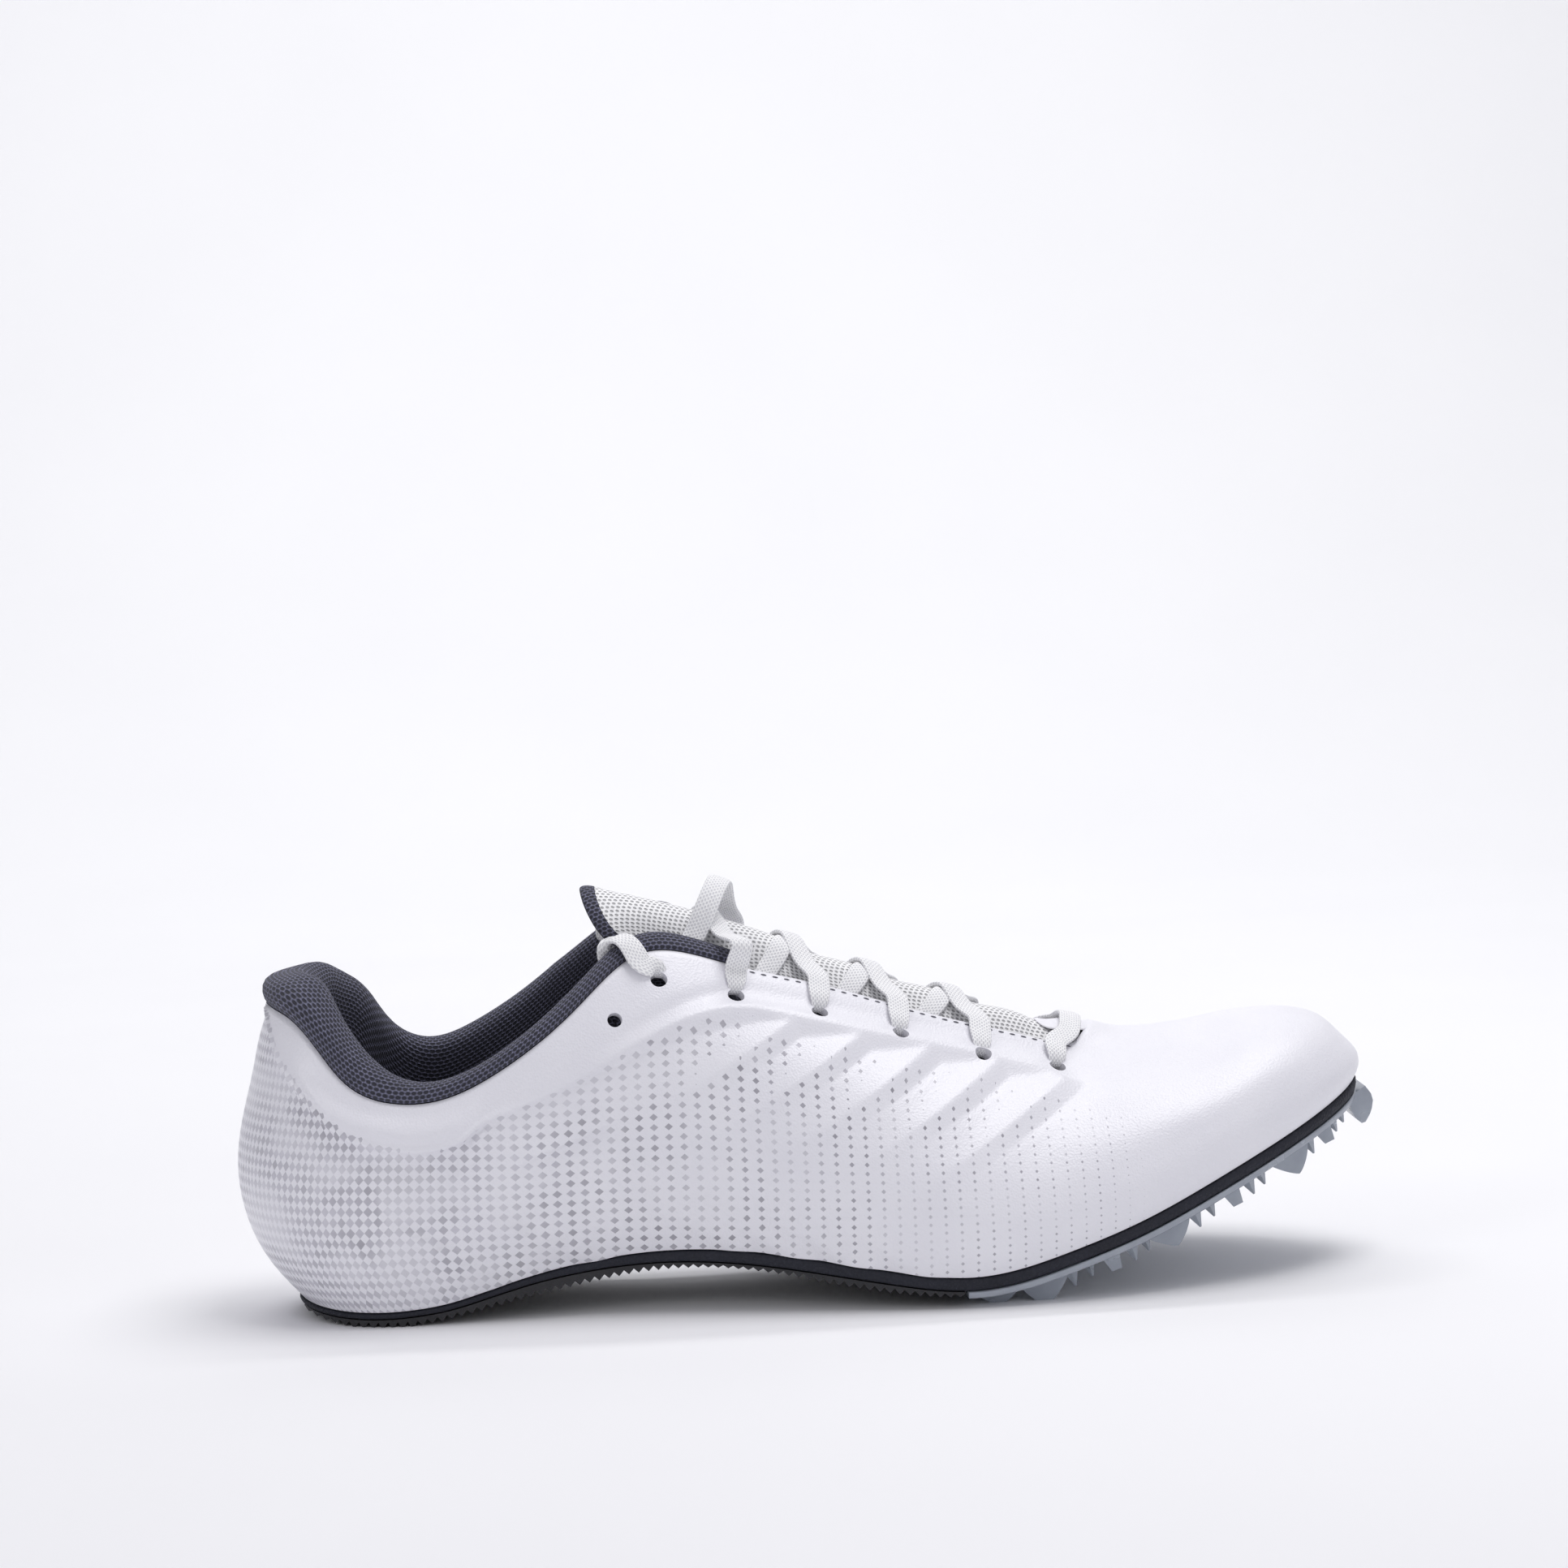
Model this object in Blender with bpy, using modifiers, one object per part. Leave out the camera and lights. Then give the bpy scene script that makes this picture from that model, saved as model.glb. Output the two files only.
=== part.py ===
"""Track spike shoe for the right foot: a thin moulded upper on a foam midsole, with a ribbed rubber
outsole under heel and arch and a moulded spike plate under the forefoot.

+X points to the toe, +Y to the medial (big toe) side and +Z up. The origin lies on the floor under the
middle of the shoe. The upper, tongue, collar, insole and sole pieces all follow one last, whose sections
run over the foot from the lateral edge of the sole to its medial edge."""

import math

import bmesh
import bpy
import numpy as np
from mathutils import Matrix, Vector

MM = 0.001

# Driving sizes of the shoe
LENGTH = 285 * MM
BALL_WIDTH = 90 * MM
INSTEP_HEIGHT = 100 * MM
TOE_SPRING = 45 * MM
TOE_SWING = 9 * MM
GAP = 0.3 * MM

# Upper
WALL = 1.8 * MM
OVERLAY_STEP = 0.6 * MM
MEDIAL_COLLAR_RISE = 4.5 * MM
EYELET_RADIUS = 1.8 * MM

# Collar padding, and the lining that runs down from it
COLLAR_ROLL = 4.5 * MM
COLLAR_PAD = 4.2 * MM
LINING_DEPTH = 24 * MM
LINING_GAP = 0.9 * MM

# Tongue
TONGUE_THICK = 2.4 * MM
TONGUE_GAP = 0.7 * MM

# Sole
MIDSOLE_HEEL = 1.3 * MM
MIDSOLE_FORE = 2.9 * MM
MIDSOLE_LIP = 0.4 * MM
INSOLE_THICK = 3.0 * MM
RIB_PITCH = 2.4 * MM
RIB_HEIGHT = 1.2 * MM
PLATE_THICK = 1.6 * MM
PLATE_START = 0.614
TREAD_SINK = 0.5 * MM
SPIKE_WELL_RADIUS = 3.2 * MM
SPIKE_BOSS_RADIUS = 5.6 * MM
SPIKE_BOSS_HEIGHT = 1.6 * MM

# Lace, and the routes of its two ends from the top eyelets over the collar and down inside, in millimetres
LACE_WIDTH = 5.4 * MM
LACE_THICK = 1.2 * MM
LACE_LIFT = 0.8 * MM
SLACK_LIFT = 7.5 * MM
LACE_END_RADIUS = 1.2 * MM
LACE_ENDS = {
    "lateral": ((-37.6, -23.2, 81.0), (-40.2, -21.7, 84.0), (-43.0, -20.9, 87.5), (-46.0, -18.4, 89.8),
                (-48.6, -16.6, 88.6), (-50.6, -14.4, 86.6), (-52.0, -13.9, 82.6), (-53.0, -14.4, 77.5),
                (-53.6, -15.3, 72.0)),
    "medial": ((-37.6, 23.3, 82.8), (-40.2, 22.2, 86.2), (-43.0, 21.2, 90.0), (-46.0, 18.4, 92.2),
               (-48.6, 16.8, 91.2), (-50.6, 14.8, 89.0), (-52.0, 14.0, 85.0), (-53.0, 14.4, 80.0),
               (-53.6, 15.3, 74.5)),
}

# Where the last's base line starts and ends, and where its rounded heel and toe begin, as shares of LENGTH
HEEL_START = 0.049
HEEL_ROUND = 0.147
TOE_ROUND = 0.702
TOE_END = 0.982
THROAT_FRONT = 0.727

STATIONS = 38
WALL_ROWS = 10

# Height of the sole's upper edge along the shoe, as shares of TOE_SPRING
SOLE_EDGE = {
    "x": (0.049, 0.08, 0.115, 0.15, 0.18, 0.21, 0.25, 0.30, 0.36, 0.43, 0.50, 0.56, 0.625, 0.66, 0.71, 0.77, 0.84, 0.91, 0.982),
    "rise": (0.105, 0.086, 0.080, 0.089, 0.115, 0.165, 0.235, 0.297, 0.338, 0.331, 0.27, 0.207, 0.169, 0.198, 0.284, 0.41, 0.60, 0.80, 1.01),
}

# Sole under its upper edge: whole stack at the tips of the ribs, as shares of TOE_SPRING
RUBBER_STACK = {
    "x": (0.049, 0.11, 0.14, 0.17, 0.21, 0.26, 0.34, 0.43, 0.52, 0.614),
    "thick": (0.060, 0.086, 0.089, 0.087, 0.096, 0.116, 0.108, 0.102, 0.122, 0.104),
}

# Half widths from the centre line, as shares of BALL_WIDTH, at stations along the shoe
WIDTHS = {
    "x": (0.049, 0.147, 0.21, 0.28, 0.35, 0.42, 0.49, 0.56, 0.63, 0.70, 0.80, 0.982),
    "sole_lateral": (0.328, 0.328, 0.322, 0.306, 0.311, 0.356, 0.417, 0.483, 0.524, 0.528, 0.511, 0.511),
    "sole_medial": (0.311, 0.311, 0.294, 0.256, 0.228, 0.226, 0.272, 0.350, 0.414, 0.444, 0.456, 0.46),
    "wide_lateral": (0.372, 0.372, 0.372, 0.361, 0.367, 0.406, 0.456, 0.511, 0.552, 0.553, 0.533, 0.533),
    "wide_medial": (0.356, 0.356, 0.344, 0.322, 0.306, 0.306, 0.344, 0.406, 0.456, 0.478, 0.478, 0.48),
    "shoulder_lateral": (0.367, 0.367, 0.372, 0.356, 0.344, 0.350, 0.378, 0.417, 0.439, 0.450, 0.478, 0.478),
    "shoulder_medial": (0.356, 0.356, 0.356, 0.333, 0.311, 0.300, 0.311, 0.344, 0.378, 0.400, 0.433, 0.433),
}

# Heights over the sole's upper edge, as shares of INSTEP_HEIGHT
HEIGHTS = {
    "x": (0.049, 0.147, 0.21, 0.28, 0.35, 0.42, 0.49, 0.56, 0.63, 0.70, 0.77, 0.84, 0.91, 0.982),
    "wide": (0.34, 0.22, 0.21, 0.20, 0.20, 0.19, 0.18, 0.158, 0.124, 0.10, 0.085, 0.075, 0.07, 0.045),
    "shoulder": (0.55, 0.42, 0.41, 0.42, 0.455, 0.455, 0.425, 0.385, 0.335, 0.265, 0.22, 0.175, 0.155, 0.115),
}

# Top line of the upper: the padded collar, then the eyestay edge, then the vamp beside its ridge.
# Half width as a share of BALL_WIDTH, height over the floor as a share of INSTEP_HEIGHT
TOP_LINE = {
    "x": (0.049, 0.07, 0.088, 0.105, 0.126, 0.147, 0.17, 0.20, 0.235, 0.27, 0.30, 0.325, 0.345, 0.365, 0.39, 0.43, 0.50, 0.56, 0.62, 0.68, 0.727, 0.78, 0.84, 0.91, 0.982),
    "half": (0.345, 0.345, 0.345, 0.345, 0.345, 0.345, 0.345, 0.345, 0.342, 0.330, 0.298, 0.253, 0.210, 0.182, 0.170, 0.160, 0.147, 0.139, 0.133, 0.127, 0.122, 0.14, 0.17, 0.20, 0.22),
    "height": (0.766, 0.742, 0.68, 0.61, 0.562, 0.544, 0.541, 0.562, 0.614, 0.682, 0.752, 0.815, 0.852, 0.866, 0.858, 0.822, 0.766, 0.710, 0.655, 0.608, 0.574, 0.560, 0.568, 0.598, 0.605),
}

# Ridge of the last: ankle cone, instep and toe box, as shares of INSTEP_HEIGHT
RIDGE = {
    "x": (0.049, 0.20, 0.27, 0.32, 0.36, 0.41, 0.45, 0.50, 0.56, 0.62, 0.69, 0.745, 0.81, 0.86, 0.92, 0.982),
    "height": (1.28, 1.24, 1.13, 1.03, 0.986, 0.938, 0.893, 0.840, 0.775, 0.715, 0.650, 0.608, 0.594, 0.603, 0.622, 0.627),
}

# How far each line of the last steps back at the heel and in at the toe, as shares of LENGTH
LINE_ENDS = {"low": (-0.033, 0.003), "wide": (-0.049, 0.004), "shoulder": (-0.033, -0.012),
             "top": (-0.015, -0.034), "ridge": (0.092, -0.062)}
HEEL_BLEND = 0.23
TOE_BLEND = 0.28

# Edge of the raised collar and eyestay panel, as shares of LENGTH and INSTEP_HEIGHT
PANEL_EDGE = {
    "x": (0.034, 0.055, 0.085, 0.12, 0.16, 0.20, 0.24, 0.29, 0.34, 0.38, 0.42, 0.47, 0.53, 0.60, 0.68, 0.74, 0.982),
    "height": (0.745, 0.60, 0.49, 0.442, 0.427, 0.446, 0.51, 0.56, 0.63, 0.672, 0.703, 0.685, 0.632, 0.57, 0.508, 0.47, 0.60),
}

# Padded collar, from the heel to its end on the eyestay: height of its roll over the upper's edge, thickness
# of its pad and depth of its lining, as shares of COLLAR_ROLL, COLLAR_PAD and LINING_DEPTH
COLLAR = {
    "x": (0.049, 0.08, 0.115, 0.15, 0.20, 0.26, 0.32, 0.37, 0.437),
    "roll": (2.25, 2.0, 1.65, 1.3, 1.05, 1.0, 0.95, 0.85, 0.75),
    "pad": (1.8, 1.7, 1.45, 1.15, 1.0, 0.9, 0.55, 0.33, 0.3),
    "lining": (0.5, 0.6, 0.82, 1.0, 1.0, 0.85, 0.45, 0.2, 0.2),
}
COLLAR_END = 0.437

# Eyelet rows along the eyestay, from the ankle to the toe: the first is a spare hole. Stations are shares of
# LENGTH and insets from the eyestay's edge are shares of EYELET_INSET
EYELET_INSET = 10 * MM
EYELETS = {
    "x": (0.33, 0.369, 0.434, 0.505, 0.573, 0.644, 0.71),
    "inset": (1.25, 0.86, 0.96, 1.0, 1.1, 1.18, 1.1),
}
LACED = EYELETS["x"][1:]

MATERIALS = {
    "synthetic_white": ((0.86, 0.86, 0.89), 0.42, 0.0),
    "mesh_white": ((0.82, 0.83, 0.84), 0.85, 0.0),
    "lining_grey": ((0.075, 0.078, 0.095), 0.9, 0.0),
    "foam_black": ((0.012, 0.012, 0.015), 0.8, 0.0),
    "rubber_black": ((0.02, 0.02, 0.024), 0.6, 0.0),
    "plate_ice": ((0.48, 0.55, 0.62), 0.3, 0.0),
    "lace_white": ((0.88, 0.88, 0.9), 0.8, 0.0),
}


def spline(knots, values, at):
    """Natural cubic spline through values at knots, read at one or many places."""
    knots = np.asarray(knots, float)
    values = np.asarray(values, float)
    flat = values.reshape(len(knots), -1)
    step = np.diff(knots)
    size = len(knots)
    system = np.eye(size)
    right = np.zeros((size, flat.shape[1]))
    for i in range(1, size - 1):
        system[i, i - 1 : i + 2] = step[i - 1], 2 * (step[i - 1] + step[i]), step[i]
        right[i] = 6 * ((flat[i + 1] - flat[i]) / step[i] - (flat[i] - flat[i - 1]) / step[i - 1])
    bend = np.linalg.solve(system, right)
    at = np.atleast_1d(np.asarray(at, float))
    cell = np.clip(np.searchsorted(knots, at) - 1, 0, size - 2)
    width = step[cell][:, None]
    after = (at - knots[cell])[:, None] / width
    before = 1 - after
    read = before * flat[cell] + after * flat[cell + 1]
    read += ((before**3 - before) * bend[cell] + (after**3 - after) * bend[cell + 1]) * width**2 / 6
    return read.reshape((len(at),) + values.shape[1:])


def table(rows, column, station):
    return float(spline(rows["x"], rows[column], station)[0])


def end_round(station):
    """1 along the shoe, falling to 0 as an ellipse at the heel's back and at the toe's tip."""
    heel = max(0.0, (HEEL_ROUND - station) / (HEEL_ROUND - HEEL_START))
    toe = max(0.0, (station - TOE_ROUND) / (TOE_END - TOE_ROUND))
    return math.sqrt(max(0.0, 1 - heel**2.2)) * math.sqrt(max(0.0, 1 - toe**2.05))


def centre_line(station):
    swing = min(max((station - 0.35) / 0.55, 0.0), 1.0)
    return TOE_SWING * swing * swing * (3 - 2 * swing)


def sole_edge(station):
    return TOE_SPRING * table(SOLE_EDGE, "rise", station)


def along(station, line=None):
    """X of a line of the last at a station, measured from the middle of the shoe."""
    x = station
    if line:
        heel, toe = LINE_ENDS[line]
        x += heel * max(0.0, 1 - (station - HEEL_START) / HEEL_BLEND) ** 2
        x += toe * max(0.0, 1 - (TOE_END - station) / TOE_BLEND) ** 2
    return LENGTH * (x - 0.5)


def station_list(count, start=HEEL_START, end=TOE_END):
    """Stations that close up towards the heel's back and the toe's tip."""
    turns = np.linspace(0, math.pi, count + 1)
    everywhere = HEEL_START + (TOE_END - HEEL_START) * (1 - np.cos(turns)) / 2
    return [s for s in everywhere if start <= s <= end]


def sole_point(station, side):
    name = "sole_lateral" if side < 0 else "sole_medial"
    half = BALL_WIDTH * table(WIDTHS, name, station) * end_round(station)
    return np.array((along(station), centre_line(station) + side * half, sole_edge(station)))


def side_points(station, side):
    """The last's points on one side of a section, from the sole's edge up to the top line."""
    word = "lateral" if side < 0 else "medial"
    centre = centre_line(station)
    ends = end_round(station)
    base = sole_edge(station)
    sole = sole_point(station, side)
    wide_half = BALL_WIDTH * table(WIDTHS, "wide_" + word, station) * ends
    wide_up = INSTEP_HEIGHT * table(HEIGHTS, "wide", station)
    wide = np.array((along(station, "wide"), centre + side * wide_half, base + wide_up))
    low_half = 0.35 * abs(sole[1] - centre) + 0.65 * wide_half
    low = np.array((along(station, "low"), centre + side * low_half, base + 0.36 * wide_up))
    shoulder_half = BALL_WIDTH * table(WIDTHS, "shoulder_" + word, station) * ends
    shoulder_up = INSTEP_HEIGHT * table(HEIGHTS, "shoulder", station)
    shoulder = np.array((along(station, "shoulder"), centre + side * shoulder_half, base + shoulder_up))
    top_half = BALL_WIDTH * table(TOP_LINE, "half", station) * ends
    top_up = INSTEP_HEIGHT * table(TOP_LINE, "height", station)
    if side > 0:
        top_up += medial_rise(station)
    top = np.array((along(station, "top"), centre + side * top_half, top_up))
    return [sole, low, wide, shoulder, top]


def medial_rise(station):
    """How much higher the top line runs on the medial side."""
    rise = min(max((station - 0.075) / 0.06, 0.0), 1.0)
    fall = min(max((0.40 - station) / 0.12, 0.0), 1.0)
    return MEDIAL_COLLAR_RISE * (rise * rise * (3 - 2 * rise)) * (0.25 + 0.75 * fall)


# Places on a section, counted from the lateral edge of the sole to the medial one
LATERAL_SOLE, LATERAL_WIDE, LATERAL_TOP, RIDGE_TOP, MEDIAL_TOP, MEDIAL_SOLE = 0, 2, 4, 5, 6, 10
SECTIONS = {}


def section(station):
    """Knots and points of the smooth curve over the foot at a station."""
    key = round(float(station), 6)
    if key not in SECTIONS:
        ridge = np.array((along(station, "ridge"), centre_line(station), INSTEP_HEIGHT * table(RIDGE, "height", station)))
        points = np.array(side_points(station, -1) + [ridge] + side_points(station, 1)[::-1])
        chords = np.maximum(np.linalg.norm(np.diff(points, axis=0), axis=1), 0.1 * MM)
        SECTIONS[key] = (np.concatenate([[0], np.cumsum(chords**0.7)]), points)
    return SECTIONS[key]


def last(station, places):
    """Points of the last at one station, at places along its section."""
    knots, points = section(station)
    return spline(knots, points, np.interp(places, range(len(knots)), knots))


def normals(station, places):
    """Outward unit normals of the last."""
    places = np.atleast_1d(np.asarray(places, float))
    reach = 0.004
    before = max(station - reach, HEEL_START + 0.0004)
    after = min(station + reach, TOE_END - 0.0004)
    forward = last(after, places) - last(before, places)
    across = last(station, np.minimum(places + 0.03, 10)) - last(station, np.maximum(places - 0.03, 0))
    if after <= station or before >= station:
        across = last((before + after) / 2, np.minimum(places + 0.03, 10)) - last((before + after) / 2, np.maximum(places - 0.03, 0))
    outward = np.cross(forward, across)
    length = np.maximum(np.linalg.norm(outward, axis=1, keepdims=True), 1e-12)
    return outward / length


def smooth_step(value):
    value = min(max(value, 0.0), 1.0)
    return value * value * (3 - 2 * value)


def place_below_top(station, side, distance):
    """Place on a section at a distance down from the top line, and the last's point there."""
    top, sole = (LATERAL_TOP, LATERAL_SOLE) if side < 0 else (MEDIAL_TOP, MEDIAL_SOLE)
    places = np.linspace(top, sole, 161)
    points = last(station, places)
    run = np.concatenate([[0], np.cumsum(np.linalg.norm(np.diff(points, axis=0), axis=1))])
    place = float(np.interp(distance, run, places))
    return place, last(station, [place])[0]


def panel_place(station, side):
    """Place on a section where the raised collar and eyestay panel ends."""
    top, wide = (LATERAL_TOP, LATERAL_WIDE) if side < 0 else (MEDIAL_TOP, 8)
    places = np.linspace(wide, top, 81)
    points = last(station, places)
    line = spline(PANEL_EDGE["x"], PANEL_EDGE["height"], points[:, 0] / LENGTH + 0.5) * INSTEP_HEIGHT
    over = np.flatnonzero(points[:, 2] >= line)
    index = over[0] if len(over) else len(places) - 1
    share = min(max(index / 80, 0.25), 0.9)
    return wide + (top - wide) * share


def fresh_collection(name):
    collection = bpy.data.collections.new(name)
    bpy.context.scene.collection.children.link(collection)
    return collection


def make_material(name):
    colour, roughness, metallic = MATERIALS[name]
    material = bpy.data.materials.new(name)
    material.use_nodes = True
    shader = material.node_tree.nodes["Principled BSDF"]
    shader.inputs["Base Color"].default_value = (*colour, 1)
    shader.inputs["Roughness"].default_value = roughness
    shader.inputs["Metallic"].default_value = metallic
    material.diffuse_color = (*colour, 1)
    return material


def make_object(name, mesh, collection, material=None):
    thing = bpy.data.objects.new(name, mesh)
    collection.objects.link(thing)
    if material:
        mesh.materials.append(MATERIAL_OF[material])
    return thing


def mesh_from(name, rows, faces):
    """Mesh of points and faces, merged where they meet and turned to face outwards."""
    form = bmesh.new()
    points = [form.verts.new(p) for p in rows]
    for face in faces:
        corners = []
        for index in face:
            if points[index] not in corners:
                corners.append(points[index])
        if len(corners) > 2:
            form.faces.new(corners)
    bmesh.ops.remove_doubles(form, verts=form.verts, dist=0.01 * MM)
    bmesh.ops.recalc_face_normals(form, faces=form.faces)
    mesh = bpy.data.meshes.new(name)
    form.to_mesh(mesh)
    form.free()
    return mesh


def loft(name, rings, closed_ring=True, caps=True):
    """Closed mesh through rings of points with one count each, with flat caps on the first and last ring."""
    count = len(rings[0])
    points = [tuple(p) for ring in rings for p in ring]
    faces = []
    for r in range(len(rings) - 1):
        for i in range(count if closed_ring else count - 1):
            j = (i + 1) % count
            faces.append((r * count + i, r * count + j, (r + 1) * count + j, (r + 1) * count + i))
    if caps:
        faces.append(tuple(range(count))[::-1])
        faces.append(tuple((len(rings) - 1) * count + i for i in range(count)))
    return mesh_from(name, points, faces)


def smooth_shade(thing, angle=40):
    thing.data.shade_smooth()
    thing.data.set_sharp_from_angle(angle=math.radians(angle))


def applied(thing):
    """Replaces the object's mesh with its evaluated one and clears its modifiers."""
    graph = bpy.context.evaluated_depsgraph_get()
    mesh = bpy.data.meshes.new_from_object(thing.evaluated_get(graph))
    thing.modifiers.clear()
    thing.data = mesh


def boolean(thing, other, operation):
    change = thing.modifiers.new(operation.lower(), "BOOLEAN")
    change.operation = operation
    change.object = other
    return change


def eyelet_frames():
    """Centre and outward normal of each eyelet, on both sides."""
    frames = []
    for side in (-1, 1):
        for station, inset in zip(EYELETS["x"], EYELETS["inset"]):
            place, point = place_below_top(station, side, EYELET_INSET * inset)
            frames.append((Vector(point), Vector(normals(station, [place])[0])))
    return frames


def upper_grid():
    """Open outer surface of the upper: points, faces and the share of the full wall at each point."""
    stations = station_list(STATIONS)
    throat = min(range(len(stations)), key=lambda i: abs(stations[i] - THROAT_FRONT))
    low = np.array((0, 0.35, 0.95, 1.6))
    points, weights, index = [], [], {}

    def add(key, point, raised):
        index[key] = len(points)
        points.append(tuple(point))
        weights.append((WALL + OVERLAY_STEP * raised) / (WALL + OVERLAY_STEP))

    for i, station in enumerate(stations):
        fade = 1 - smooth_step((station - 0.68) / 0.07)
        for side in (-1, 1):
            edge = panel_place(station, side)
            half = edge if side < 0 else MEDIAL_SOLE - edge
            places = np.concatenate([low[low < half - 0.2], [half - 0.045, half + 0.045]])
            places = np.concatenate([places, np.linspace(half + 0.045, 4, 5)[1:]])
            while len(places) < WALL_ROWS:
                wide_gap = int(np.argmax(np.diff(places)))
                places = np.insert(places, wide_gap + 1, places[wide_gap : wide_gap + 2].mean())
            places = places if side < 0 else MEDIAL_SOLE - places
            surface = last(station, places)
            out = normals(station, places)
            for j, place in enumerate(places):
                above = place > edge if side < 0 else place < edge
                raised = fade if above else 0.0
                add((i, side, j), surface[j] + out[j] * OVERLAY_STEP * raised, raised)
        if i >= throat:
            inner = np.linspace(LATERAL_TOP, MEDIAL_TOP, 7)[1:-1]
            surface = last(station, inner)
            round_off = 5.5 * MM * (1 - smooth_step((station - stations[throat]) / 0.07))
            for j, place in enumerate(inner):
                shift = round_off * (1 - (place - RIDGE_TOP) ** 2)
                add((i, 0, j), surface[j] + np.array((shift, 0, 0)) + normals(station, [place])[0] * OVERLAY_STEP * fade, fade)

    faces = []
    for i in range(len(stations) - 1):
        for side in (-1, 1):
            for j in range(WALL_ROWS - 1):
                faces.append([index[i, side, j], index[i + 1, side, j], index[i + 1, side, j + 1], index[i, side, j + 1]])
        if i >= throat:
            first, second = ([index[k, -1, WALL_ROWS - 1]] + [index[k, 0, j] for j in range(5)] + [index[k, 1, WALL_ROWS - 1]]
                             for k in (i, i + 1))
            for j in range(6):
                faces.append([first[j], second[j], second[j + 1], first[j + 1]])
    return points, faces, weights


def make_upper(parts, cutters):
    points, faces, weights = upper_grid()
    form = bmesh.new()
    layer = form.verts.layers.deform.verify()
    corners = [form.verts.new(p) for p in points]
    for corner, weight in zip(corners, weights):
        corner[layer][0] = weight
    for face in faces:
        form.faces.new([corners[i] for i in face])
    bmesh.ops.remove_doubles(form, verts=form.verts, dist=0.02 * MM)
    bmesh.ops.recalc_face_normals(form, faces=form.faces)
    outward = sum((f.normal.dot(f.calc_center_median() - Vector((0, 0, 0.03))) for f in form.faces))
    if outward < 0:
        bmesh.ops.reverse_faces(form, faces=form.faces)
    mesh = bpy.data.meshes.new("upper")
    form.to_mesh(mesh)
    form.free()
    upper = make_object("upper", mesh, parts, "synthetic_white")
    upper.vertex_groups.new(name="wall")
    wall = upper.modifiers.new("wall", "SOLIDIFY")
    wall.thickness = WALL + OVERLAY_STEP
    wall.offset = -1
    wall.vertex_group = "wall"
    wall.use_rim = True
    drills = bmesh.new()
    for centre, outward in eyelet_frames():
        turn = outward.to_track_quat("Z", "Y").to_matrix().to_4x4()
        bmesh.ops.create_cone(drills, cap_ends=True, segments=10, radius1=EYELET_RADIUS, radius2=EYELET_RADIUS,
                              depth=8 * MM, matrix=Matrix.Translation(centre) @ turn)
    drill_mesh = bpy.data.meshes.new("eyelet_drills")
    drills.to_mesh(drill_mesh)
    drills.free()
    drill = make_object("eyelet_drills", drill_mesh, cutters)
    drill.display_type = "WIRE"
    drill.hide_render = True
    boolean(upper, drill, "DIFFERENCE")
    smooth_shade(upper, 50)
    return upper


def collar_section(station, side):
    """Ring of the padded collar at a station: round the roll, down the lining and back up beside the wall."""
    roll = COLLAR_ROLL * table(COLLAR, "roll", station)
    pad = COLLAR_PAD * table(COLLAR, "pad", station)
    depth = LINING_DEPTH * table(COLLAR, "lining", station)
    inner = WALL + LINING_GAP
    top = LATERAL_TOP if side < 0 else MEDIAL_TOP
    edge = last(station, [top])[0]
    out = normals(station, [top])[0]
    step = last(station, [top - 0.02 * side])[0] - edge
    up = step / np.linalg.norm(step)
    proud = OVERLAY_STEP
    ring = []
    for share, level in ((0, 0.0), (-0.14, 0.45), (0.06, 0.82), (0.42, 1.0), (0.8, 0.86), (1.0, 0.5)):
        reach = share * (inner + pad + proud) - proud
        ring.append(edge - out * reach + up * (roll * level + GAP))
    for share, thick in ((0.05, 1.0), (0.3, 0.85), (0.65, 0.6), (1.0, 0.3)):
        place, point = place_below_top(station, side, depth * share)
        ring.append(point - normals(station, [place])[0] * (inner + pad * thick))
    for share in (1.0, 0.55, 0.12):
        place, point = place_below_top(station, side, depth * share)
        ring.append(point - normals(station, [place])[0] * inner)
    ring.append(edge - out * inner + up * GAP)
    return ring


def make_collar(parts):
    """Padded collar, from the eyestay's second eyelet on one side round the heel to the other side."""
    end = COLLAR_END
    stations = [s for s in station_list(STATIONS) if HEEL_START + 0.0005 < s < end - 0.01] + [end]
    rings = [collar_section(s, -1) for s in reversed(stations)]
    rings.append(collar_section(HEEL_START, -1))
    rings += [collar_section(s, 1) for s in stations]
    collar = make_object("collar", loft("collar", rings), parts, "lining_grey")
    smooth_shade(collar, 60)
    return collar


def tongue_depth(station, place):
    """How far the tongue's face lies under the last's surface."""
    off_centre = abs(place - RIDGE_TOP)
    near_collar = 1 - smooth_step((station - COLLAR_END + 0.01) / 0.06)
    padding = COLLAR_PAD * table(COLLAR, "pad", min(max(station, 0.30), COLLAR_END)) + 1.2 * MM
    return WALL + TONGUE_GAP + padding * near_collar * smooth_step(off_centre / 0.9)


def make_tongue(parts):
    """Thin padded tongue, under the eyestays and up past the collar, with a rounded top edge."""
    across = np.linspace(-1, 1, 9)
    front, back = THROAT_FRONT + 0.024, 0.306
    rings = []
    for step in np.linspace(0, 1, 17):
        ring_top, ring_under = [], []
        for share in across:
            station = front + (back + 0.045 * abs(share) ** 1.6 - front) * step
            reach = 1.28 - 0.16 * smooth_step((0.40 - station) / 0.06)
            place = RIDGE_TOP + share * reach
            point = last(station, [place])[0]
            out = normals(station, [place])[0]
            depth = tongue_depth(station, place)
            thin = TONGUE_THICK * (1 - 0.45 * abs(share) ** 3)
            ring_top.append(point - out * depth)
            ring_under.append(point - out * (depth + thin))
        rings.append(ring_top + ring_under[::-1])
    tongue = make_object("tongue", loft("tongue", rings), parts, "mesh_white")
    smooth_shade(tongue, 50)
    return tongue


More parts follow.
